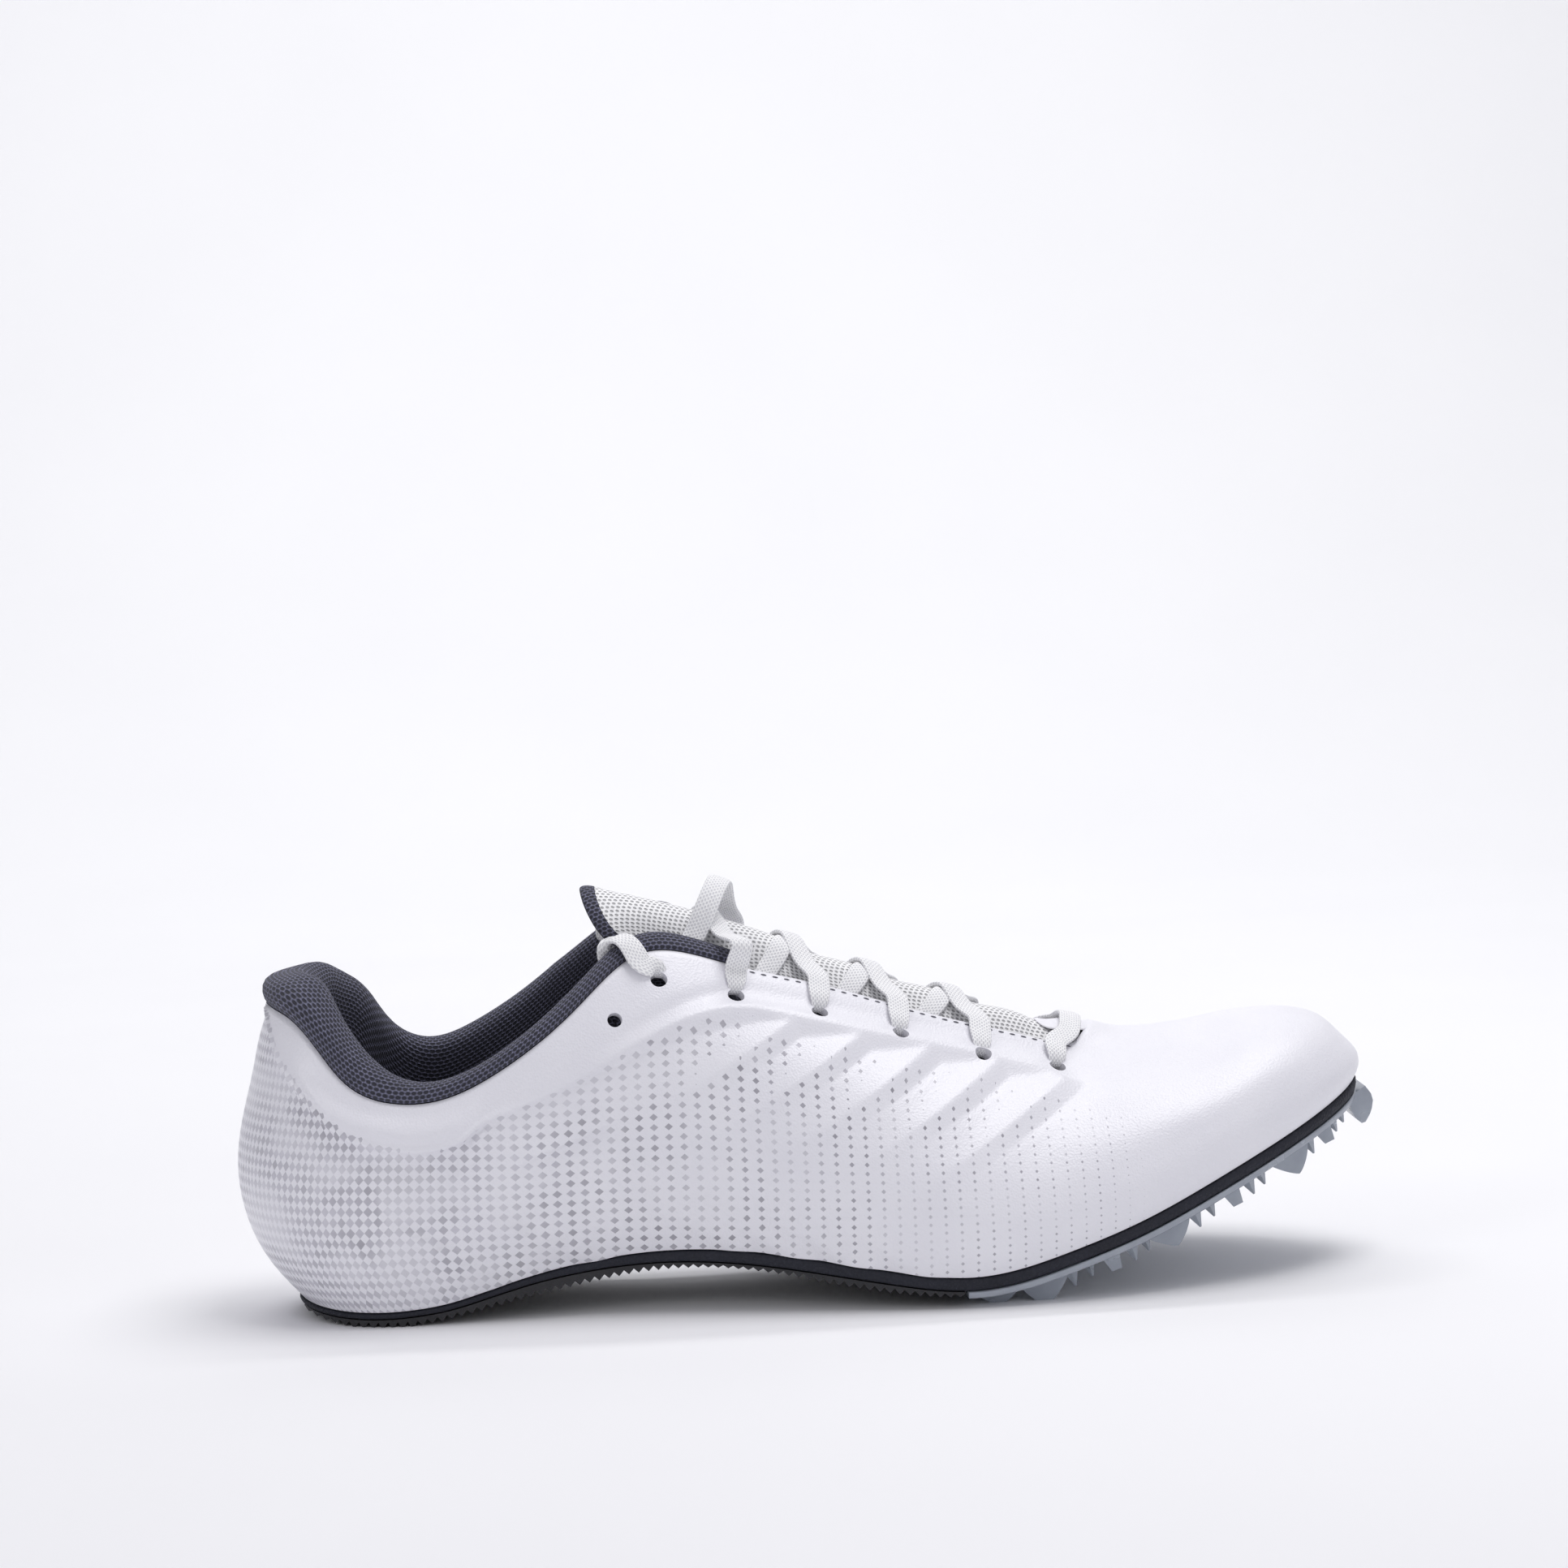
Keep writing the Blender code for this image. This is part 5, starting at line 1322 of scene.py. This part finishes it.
def crossing(row, side, over, slack=0.0):
    """Knots of the lace from one eyelet over the tongue and under the far edge, towards the heel."""
    start, end = LACED[row], LACED[row - 1]
    across = end + (start - end) * 0.42
    near, far = side_ends(side)[0], side_ends(-side)[0]
    roll = COLLAR_ROLL * table(COLLAR, "roll", start) if start <= COLLAR_END else 0.0
    made = out_of_eyelet(row, side)
    point, out = over_last(start, near, LACE_LIFT + roll)
    made.append(knot(point, out))
    for share in (0.18, 0.36, 0.5, 0.64, 0.8):
        station = start + (across - start) * share
        place = near + (far - near) * share
        on_tongue = 0.75 * MM - tongue_depth(station, place)
        settle = float(smooth((share + 0.02) / 0.4))
        climb = over * hump(share, 0.5, 0.16)
        lift = slack * math.sin(math.pi * min(share / 0.86, 1.0))
        height = on_tongue + (LACE_LIFT + roll - on_tongue) * (1 - settle) + climb + lift
        point, out = over_last(station, place, height)
        made.append(knot(point, out))
    for share, depth in ((0.95, 0.1), (1.1, 0.35)):
        place = near + (far - near) * share
        point, out = over_last(across, place, -WALL - 0.85 * MM - depth * MM)
        made.append(knot(point, out, 0.95))
    return made


LACE_LINES = {}
for row in range(2, len(LACED) - 1):
    LACE_LINES[f"lace_medial_{row}"] = (crossing(row, 1, 0.0), [f"lace_crossing_{row}"])
    LACE_LINES[f"lace_lateral_{row}"] = (crossing(row, -1, 1.35 * MM), [])
LACE_LINES["lace_near_top"] = (crossing(1, -1, 0.0), ["lace_top_crossing"])
LACE_LINES["lace_loose_loop"] = (crossing(1, 1, 1.0 * MM, 7.5 * MM), ["lace_slack"])
print("lace crossings:", ", ".join(LACE_LINES))


# %% Crossings and the bar at the toe
def make_crossings():
    """One band for each line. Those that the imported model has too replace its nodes."""
    made = []
    for name, (knots, nodes) in LACE_LINES.items():
        band, _ = make_band(name, knots, 64)
        if nodes:
            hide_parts(*nodes)
        made.append(band)
    return made


def make_bar():
    """The lace's first run, straight over the front of the throat, with both ends through their eyelets."""
    front = len(LACED) - 1
    near, far = out_of_eyelet(front, -1), out_of_eyelet(front, 1)
    middle = []
    for place in (4.15, 4.6, 5.0, 5.4, 5.85):
        ahead = 0.02 * (1 - 0.5 * (place - RIDGE_TOP) ** 2)
        point, out = over_last(LACED[front] + ahead, place, 1.75 * MM)
        middle.append(knot(point, out))
    bar, _ = make_band("lace_front_bar", near + middle + far[::-1], 72)
    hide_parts("lace_bar")
    return bar


crossings = make_crossings()
bar = make_bar()
print("lace pieces:", len(crossings) + 1)

# %% Tab at the front of the throat
def make_throat_tab():
    """Small white reinforcement that lies on the vamp's edge, under the first run of the lace."""
    rings = []
    for step in np.linspace(0, 1, 26):
        station = THROAT_FRONT - 0.026 + 0.054 * step
        rounding = math.sqrt(max(0.02, 1 - abs(2 * step - 1) ** 3.5))
        lift = -1.3 * MM + 1.75 * MM * float(smooth((step - 0.1) / 0.5))
        face, under = [], []
        for share in np.linspace(-1, 1, 25):
            thin = 0.8 * MM * rounding * math.sqrt(max(0.02, 1 - abs(share) ** 8))
            point, out = over_last(station, RIDGE_TOP + 0.52 * share * rounding, lift)
            face.append(point + out * thin / 2)
            under.append(point - out * thin / 2)
        rings.append(face + under[::-1])
    mesh = ring_mesh("throat_tab", rings)
    keep_values(mesh, "cloth_place", np.reshape(rings, (-1, 3)))
    face_outwards(mesh)
    tab = add_object("throat_tab", mesh, UPPER_FINISH)
    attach(tab, BODY)
    return tab


tab = make_throat_tab()
print("tab:", len(tab.data.polygons), "faces")

# %% Ends of the lace
LACE_ENDS = {
    "lateral": ((-37.6, -23.2, 81.0), (-40.2, -21.7, 84.0), (-43.0, -20.9, 87.5), (-46.0, -18.4, 90.4),
                (-48.2, -16.2, 89.6), (-49.2, -14.2, 86.6), (-49.0, -13.6, 82.2), (-48.4, -14.0, 77.0),
                (-47.8, -14.8, 72.0)),
    "medial": ((-37.6, 23.3, 82.8), (-40.2, 22.2, 86.2), (-43.0, 21.2, 90.0), (-46.0, 18.4, 92.8),
               (-48.2, 16.4, 92.0), (-49.2, 14.4, 89.0), (-49.0, 13.7, 84.6), (-48.4, 14.0, 79.6),
               (-47.8, 14.8, 74.5)),
}


def make_lace_end(word, side):
    """End of the lace, from its top eyelet over the collar and down inside the shoe."""
    route = np.array(LACE_ENDS[word]) * MM
    middle = np.array((-52.5, side * 2.0, 66.0)) * MM
    knots = out_of_eyelet(0, side)[:3]
    for i, point in enumerate(route[1:], 1):
        out = unit(np.array((0.15, side * 1.0, 0.75)))
        if i >= 3:
            ahead = unit(route[min(i + 1, 8)] - route[i - 1])
            away = unit(point - middle)
            out = unit(away - ahead * (away @ ahead))
        if i >= 6:
            out = unit(np.array((0.2, -side * 1.0, 0.1)))
        knots.append(knot(point, out))
    return knots


def make_lace_ends():
    """Both loose ends of the lace, as bands from the top eyelets over the collar and down inside the shoe."""
    for word, side in (("lateral", -1), ("medial", 1)):
        band, points = make_band(f"lace_end_piece_{word}", make_lace_end(word, side), 60)
        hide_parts(f"lace_end_{word}")


make_lace_ends()

# %% [markdown]
# ## Soles
# Under the upper lie a thin insole, a black foam midsole that shows as a band round the edge, black rubber
# with ribs under the heel and arch, and the spike plate under the forefoot. All follow the edge of the last,
# so one helper draws a layer as rings across the shoe, with the profile of its side wall given as a few pairs
# of numbers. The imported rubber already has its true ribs, so it stays and takes a rubber finish.


# %% Edge of the sole
def outline(station, side, grow):
    """Point of the sole's edge, moved outwards by grow."""
    before, after = max(station - 0.003, HEEL_START), min(station + 0.003, TOE_END)
    run = unit(sole_point(after, side)[:2] - sole_point(before, side)[:2])
    outward = np.array((run[1], -run[0])) * (-side)
    if station <= HEEL_START + 1e-9:
        outward = np.array((-1.0, 0.0))
    if station >= TOE_END - 1e-9:
        outward = np.array((1.0, 0.0))
    return sole_point(station, side)[:2] + outward * grow


def sole_slope(station):
    """Rise of the sole's edge for each step ahead."""
    rise = sole_edge(min(station + 0.004, TOE_END)) - sole_edge(max(station - 0.004, HEEL_START))
    return rise / (LENGTH * 0.008)


def down(station, thickness):
    """Vertical depth of a layer of this thickness on the sloping sole."""
    return thickness * math.sqrt(1 + min(sole_slope(station), 0.6) ** 2)


def midsole_thick(station):
    """Depth of the foam, thin at the heel and thicker from the arch on."""
    return down(station, (1.3 + 1.6 * float(smooth((station - 0.16) / 0.3))) * MM)


def midsole_top(station):
    return sole_edge(station) - GAP


def midsole_bottom(station):
    return midsole_top(station) - midsole_thick(station)


def make_layer(name, stations, top_of, bottom_of, profile, material, cup=0.0):
    """Layer of the sole. The profile pairs a share of the way down with how far the edge grows outwards."""
    rings = []
    for station in stations:
        top, bottom = top_of(station), bottom_of(station)
        lateral, medial = (
            np.array([(*outline(station, side, grow), top + (bottom - top) * share) for share, grow in profile])
            for side in (-1, 1)
        )
        shares = np.linspace(0, 1, 12)[1:-1, None]
        over = lateral[0] + (medial[0] - lateral[0]) * shares
        over[:, 2] -= cup * (1 - np.abs(2 * shares[:, 0] - 1) ** 4)
        under = medial[-1] + (lateral[-1] - medial[-1]) * shares
        rings.append(np.concatenate([lateral[::-1], over, medial, under]))
    mesh = ring_mesh(name, rings)
    keep_values(mesh, "cloth_place", np.reshape(rings, (-1, 3)))
    face_outwards(mesh)
    mesh.set_sharp_from_angle(angle=math.radians(50))
    return add_object(name, mesh, material)


def edge_stations(count):
    """Stations at even steps along the lateral edge of the sole."""
    fine = all_stations(900)
    run = run_length(np.array([sole_point(s, -1) for s in fine]))
    return np.interp(np.linspace(0, run[-1], count), run, fine)


print("sole edge at the arch:", round(sole_edge(0.36) / MM, 1), "mm over the floor")


# %% Midsole and insole
INSOLE_THICK = 3.9 * MM


def make_midsole():
    profile = [(0.0, -0.3 * MM), (0.06, 0.15 * MM), (0.2, 0.4 * MM), (0.5, 0.42 * MM), (0.8, 0.25 * MM),
               (0.95, 0.0), (1.0, -0.4 * MM)]
    midsole = make_layer("foam_midsole", edge_stations(230), midsole_top, midsole_bottom, profile, FOAM)
    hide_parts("midsole")
    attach(midsole, BODY)
    return midsole


def insole_top(station):
    return sole_edge(station) + INSOLE_THICK


def make_insole():
    inset = -(WALL + GAP + 0.4 * MM)
    profile = [(0.0, inset - 1.4 * MM), (0.08, inset - 0.5 * MM), (0.3, inset), (1.0, inset)]
    stations = edge_stations(150)[1:-1]
    insole = make_layer("knit_insole", stations, insole_top, sole_edge, profile, LINING_KNIT, cup=1.1 * MM)
    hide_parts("insole")
    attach(insole, BODY)
    return insole


midsole, insole = make_midsole(), make_insole()
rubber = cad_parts["rubber_outsole"]
for place in rubber.material_slots:
    place.material = RUBBER
print("midsole:", len(midsole.data.polygons), "faces; insole:", len(insole.data.polygons), "faces")

# %% [markdown]
# ## Spike plate
# The plate is moulded in one piece with rounded fins, square blocks, small teeth and seven round bosses with
# a blind hole for a spike. Each shape is a small closed solid set on the plate's slope, a Boolean joins them
# all, and a narrow bevel rounds what a mould can't make sharp.

# %% Places of the tread
PLATE_START, PLATE_THICK, TREAD_SINK = 0.614, 1.6 * MM, 0.5 * MM
SPIKE_WELL_RADIUS, SPIKE_BOSS_RADIUS, SPIKE_BOSS_HEIGHT = 3.2 * MM, 5.6 * MM, 1.6 * MM
FINS = ((0.644, 0.84, 10.5 * MM, 0), (0.684, 0.86, 12.0 * MM, 0), (0.792, 0.84, 12.5 * MM, 5.2 * MM),
        (0.905, 0.80, 11.5 * MM, 5.6 * MM))
BLOCKS = ((0.742, 0.88), (0.851, 0.86), (0.942, 0.74))
TEETH = ((0.706, 0.90), (0.722, 0.84), (0.759, 0.90), (0.772, 0.82), (0.816, 0.90), (0.83, 0.84),
         (0.866, 0.88), (0.878, 0.80), (0.925, 0.82), (0.952, 0.62), (0.962, 0.42))
INNER_TEETH = ((0.66, 0.3), (0.70, 0.42), (0.74, 0.28), (0.78, 0.42), (0.82, 0.26), (0.86, 0.40),
               (0.90, 0.25))
TOOTH_DEPTH, TOOTH_RADIUS, FLOOR_GAP = 4.6 * MM, 2.1 * MM, 0.6 * MM
FIN_THICK, FRONT_FIN_THICK, BLOCK_THICK, BUMPER_THICK = 2.4 * MM, 2.8 * MM, 3.4 * MM, 13 * MM
BLOCK = ((-2.8 * MM, -TREAD_SINK), (-1.4 * MM, 4.2 * MM), (1.2 * MM, 4.2 * MM), (2.0 * MM, -TREAD_SINK))
BUMPER = ((-1.2, -0.9), (-2.0, 2.4), (-2.2, 4.8), (-1.6, 6.8), (-0.6, 7.1), (1.4, 6.0), (2.6, 5.0), (3.9, 3.4),
          (4.4, 1.6), (4.2, -0.9))
SPIKE_WELLS = ((0.664, -0.62), (0.664, 0.60), (0.765, -0.60), (0.765, 0.62), (0.868, -0.52), (0.868, 0.58),
               (0.93, 0.02))


def plate_top(station):
    return midsole_bottom(station) - GAP


def plate_bottom(station):
    return plate_top(station) - down(station, PLATE_THICK)


def plate_frame(station, across):
    """Matrix on the plate's underside: X along the slope to the toe, Z straight out of the plate, downwards."""
    edge = outline(station, -1 if across < 0 else 1, 0.0)
    centre = np.array((along(station), centre_line(station)))
    flat = centre + (edge - centre) * abs(across)
    slope = (plate_bottom(station + 0.004) - plate_bottom(station - 0.004)) / (LENGTH * 0.008)
    ahead, outward = Vector((1, 0, slope)).normalized(), Vector((slope, 0, -1)).normalized()
    turn = Matrix((ahead, outward.cross(ahead), outward)).transposed().to_4x4()
    return Matrix.Translation((flat[0], flat[1], plate_bottom(station))) @ turn


TREAD_COUNT = 2 * (len(FINS) + len(BLOCKS) + len(TEETH) + len(INNER_TEETH))
print("tread:", TREAD_COUNT, "shapes and", len(SPIKE_WELLS), "wells")


# %% Shapes of the tread
def prism(form, profile, thickness, matrix, taper=0.75):
    """Adds a flat profile in X and Z, given a thickness along Y that tapers towards its tip."""
    reach = max(z for x, z in profile)
    sides = [[], []]
    for index, side in enumerate((-1, 1)):
        for x, z in profile:
            y = side * thickness / 2 * (1 - (1 - taper) * max(z, 0) / reach)
            sides[index].append(form.verts.new(matrix @ Vector((x, y, z))))
    form.faces.new(sides[0])
    form.faces.new(sides[1][::-1])
    for i in range(len(profile)):
        j = (i + 1) % len(profile)
        form.faces.new((sides[0][j], sides[0][i], sides[1][i], sides[1][j]))


def fin_profile(length, height):
    """Half round fin with a blunt tip, a little ahead of its middle."""
    shares = np.sin(np.linspace(-math.pi / 2, math.pi / 2, 27))
    made = [(-length / 2, -TREAD_SINK)]
    for s in shares:
        lean = 0.05 * length * (1 - s * s)
        made.append((length / 2 * s + lean, 1.12 * height * (1 - abs(s) ** 1.25) ** 0.8))
    return made + [(length / 2, -TREAD_SINK)]


def add_tread(form):
    """Fins, blocks and teeth on both sides, and the bumper at the toe. Two pairs of fins reach the floor."""
    for side in (-1, 1):
        for station, across, length, height in FINS:
            place = plate_frame(station, side * across)
            if height:
                prism(form, fin_profile(length, height), FIN_THICK, place)
                continue
            foot = place.translation.z
            upright = Matrix.Translation(place.translation) @ Matrix.Rotation(math.pi, 4, "X")
            slope = sole_slope(station)
            level = [(x, min(z - slope * x, foot)) for x, z in fin_profile(length, foot * 1.15)]
            prism(form, level, FRONT_FIN_THICK, upright)
        for station, across in BLOCKS:
            prism(form, BLOCK, BLOCK_THICK, plate_frame(station, side * across), 0.85)
        for station, across in TEETH + INNER_TEETH:
            depth = min(TOOTH_DEPTH, plate_bottom(station) + TREAD_SINK - FLOOR_GAP)
            place = plate_frame(station, side * across) @ Matrix.Translation((0, 0, depth / 2 - TREAD_SINK))
            bmesh.ops.create_cone(form, cap_ends=True, segments=4, radius1=TOOTH_RADIUS, radius2=0.25 * MM,
                                  depth=depth, matrix=place)
    bumper = [(x * MM, z * MM) for x, z in BUMPER]
    prism(form, bumper, BUMPER_THICK, plate_frame(TOE_END - 0.004, 0.0), 0.8)


def add_bosses(form, radius, radius_tip, depth, lift):
    """A short cone at each spike well, its middle lifted off the plate."""
    for station, across in SPIKE_WELLS:
        place = plate_frame(station, across) @ Matrix.Translation((0, 0, lift))
        bmesh.ops.create_cone(form, cap_ends=True, segments=32, radius1=radius, radius2=radius_tip, depth=depth,
                              matrix=place)


def closed_object(name, form):
    """Object for closed shapes, all turned outwards, that helps a Boolean."""
    bmesh.ops.recalc_face_normals(form, faces=form.faces)
    mesh = bpy.data.meshes.new(name)
    form.to_mesh(mesh)
    form.free()
    return add_object(name, mesh)


print("a fin has", len(fin_profile(1, 1)), "points")


# %% Spike plate
def make_plate():
    """The plate's layer with its tread joined on, its wells cut out and its edges rounded."""
    stations = [s for s in edge_stations(240) if s > PLATE_START + 0.008]
    profile = [(0.0, 0.0), (0.12, 0.3 * MM), (0.5, 0.3 * MM), (0.85, 0.15 * MM), (1.0, -0.15 * MM)]
    stations.insert(0, PLATE_START + 0.003)
    plate = make_layer("frosted_plate", stations, plate_top, plate_bottom, profile, FROSTED)
    tread, wells = bmesh.new(), bmesh.new()
    add_tread(tread)
    depth = SPIKE_BOSS_HEIGHT + TREAD_SINK
    add_bosses(tread, SPIKE_BOSS_RADIUS, SPIKE_BOSS_RADIUS * 0.86, depth, depth / 2 - TREAD_SINK)
    well_depth = 2 * (SPIKE_BOSS_HEIGHT + 0.3 * MM)
    add_bosses(wells, SPIKE_WELL_RADIUS, SPIKE_WELL_RADIUS, well_depth, SPIKE_BOSS_HEIGHT)
    helpers = [closed_object("plate_tread", tread), closed_object("spike_wells", wells)]
    for helper, operation in zip(helpers, ("UNION", "DIFFERENCE")):
        change = plate.modifiers.new(operation.lower(), "BOOLEAN")
        change.operation = operation
        change.object = helper
        change.use_self = operation == "UNION"
    edge = plate.modifiers.new("moulded_edge", "BEVEL")
    edge.width = 0.22 * MM
    edge.segments = 2
    edge.angle_limit = math.radians(40)
    apply_modifiers(plate)
    for helper in helpers:
        bpy.data.objects.remove(helper)
    plate.data.shade_smooth()
    plate.data.set_sharp_from_angle(angle=math.radians(35))
    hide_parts("spike_plate")
    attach(plate, BODY)
    return plate


plate = make_plate()
print("plate:", len(plate.data.polygons), "faces")

# %% [markdown]
# ## Stitching
# A row of small grey stitches holds the folded edge of the eyestays. Stitches repeat along a line, so a
# Geometry Nodes tree sets them out: it takes a line, spaces points along it by the pitch, puts one rounded
# stitch on each, turned along the line, and makes them real. The line itself is laid on the finished upper.


# %% Stitch tree
def make_stitch_tree():
    """Tree that sets one rounded stitch at each pitch along a line."""
    tree = bpy.data.node_groups.new("stitch_row", "GeometryNodeTree")
    tree.interface.new_socket("Line", in_out="INPUT", socket_type="NodeSocketGeometry")
    for name, value in (("Pitch", 3.4 * MM), ("Stitch Length", 2.0 * MM), ("Thread", 0.5 * MM)):
        tree.interface.new_socket(name, in_out="INPUT", socket_type="NodeSocketFloat").default_value = value
    tree.interface.new_socket("Finish", in_out="INPUT", socket_type="NodeSocketMaterial")
    tree.interface.new_socket("Stitches", in_out="OUTPUT", socket_type="NodeSocketGeometry")
    given = tree.nodes.new("NodeGroupInput").outputs
    result = tree.nodes.new("NodeGroupOutput").inputs
    curve = tree.nodes.new("GeometryNodeMeshToCurve")
    spaced = tree.nodes.new("GeometryNodeResampleCurve")
    spaced.mode = "LENGTH"
    dots = tree.nodes.new("GeometryNodeCurveToPoints")
    dots.mode = "EVALUATED"
    turn = tree.nodes.new("FunctionNodeAlignRotationToVector")
    turn.axis = "X"
    ball = tree.nodes.new("GeometryNodeMeshUVSphere")
    ball.inputs["Segments"].default_value = 8
    ball.inputs["Rings"].default_value = 6
    ball.inputs["Radius"].default_value = 0.5
    size = tree.nodes.new("ShaderNodeCombineXYZ")
    place = tree.nodes.new("GeometryNodeInstanceOnPoints")
    real = tree.nodes.new("GeometryNodeRealizeInstances")
    finish = tree.nodes.new("GeometryNodeSetMaterial")
    for start, end in (
        (given["Line"], curve.inputs["Mesh"]), (curve.outputs["Curve"], spaced.inputs["Curve"]),
        (given["Pitch"], spaced.inputs["Length"]), (spaced.outputs["Curve"], dots.inputs["Curve"]),
        (dots.outputs["Points"], place.inputs["Points"]), (dots.outputs["Tangent"], turn.inputs["Vector"]),
        (turn.outputs["Rotation"], place.inputs["Rotation"]), (ball.outputs["Mesh"], place.inputs["Instance"]),
        (given["Stitch Length"], size.inputs["X"]), (given["Thread"], size.inputs["Y"]),
        (given["Thread"], size.inputs["Z"]), (size.outputs["Vector"], place.inputs["Scale"]),
        (place.outputs["Instances"], real.inputs["Geometry"]),
        (real.outputs["Geometry"], finish.inputs["Geometry"]),
        (given["Finish"], finish.inputs["Material"]), (finish.outputs["Geometry"], result["Stitches"]),
    ):
        tree.links.new(start, end)
    return tree


STITCH_TREE = make_stitch_tree()
print("tree:", STITCH_TREE.name, "with", len(STITCH_TREE.nodes), "nodes")


# %% Stitch rows on the eyestays
def on_upper(points, height):
    """Points laid on the finished upper's face, lifted by a height."""
    found = []
    for point in points:
        near, out, _, _ = UPPER_TREE.find_nearest(Vector(point) + TO_FRAME)
        found.append(near - TO_FRAME + out * height)
    return found


def make_stitches(name, lines, pitch, length, thread):
    """Plain mesh of stitches along some lines of points."""
    points, edges = [], []
    for line in lines:
        edges += [(len(points) + i, len(points) + i + 1) for i in range(len(line) - 1)]
        points += [tuple(p) for p in line]
    mesh = bpy.data.meshes.new(name)
    mesh.from_pydata(points, edges, [])
    rows = add_object(name, mesh)
    change = rows.modifiers.new("stitches", "NODES")
    change.node_group = STITCH_TREE
    values = {"Pitch": pitch, "Stitch Length": length, "Thread": thread, "Finish": THREAD}
    for item in STITCH_TREE.interface.items_tree:
        if item.in_out == "INPUT" and item.name in values:
            change[item.identifier] = values[item.name]
    apply_modifiers(rows)
    rows.data.shade_smooth()
    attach(rows, BODY)
    return rows


def eyestay_line(side, below, start, end):
    """Line beside the open edge of the eyestay, at a distance below it."""
    line = []
    for station in np.linspace(start, end, 90):
        place, point = place_below_top(station, side, below)
        line.append(point + last_normals(station, [place])[0] * MM)
    return line


SEAM_BELOW, SEAM_START, SEAM_END, FACES_A_STITCH = 1.5 * MM, 0.449, 0.724, 48
UPPER_TREE = BVHTree.FromObject(upper, bpy.context.evaluated_depsgraph_get())
EYESTAY_LINES = [
    on_upper(eyestay_line(side, SEAM_BELOW, SEAM_START, SEAM_END), 0.02 * MM) for side in (-1, 1)
]
stitches = make_stitches("eyestay_stitches", EYESTAY_LINES, 2.9 * MM, 1.5 * MM, 0.45 * MM)
print("stitches:", len(stitches.data.polygons) // FACES_A_STITCH)
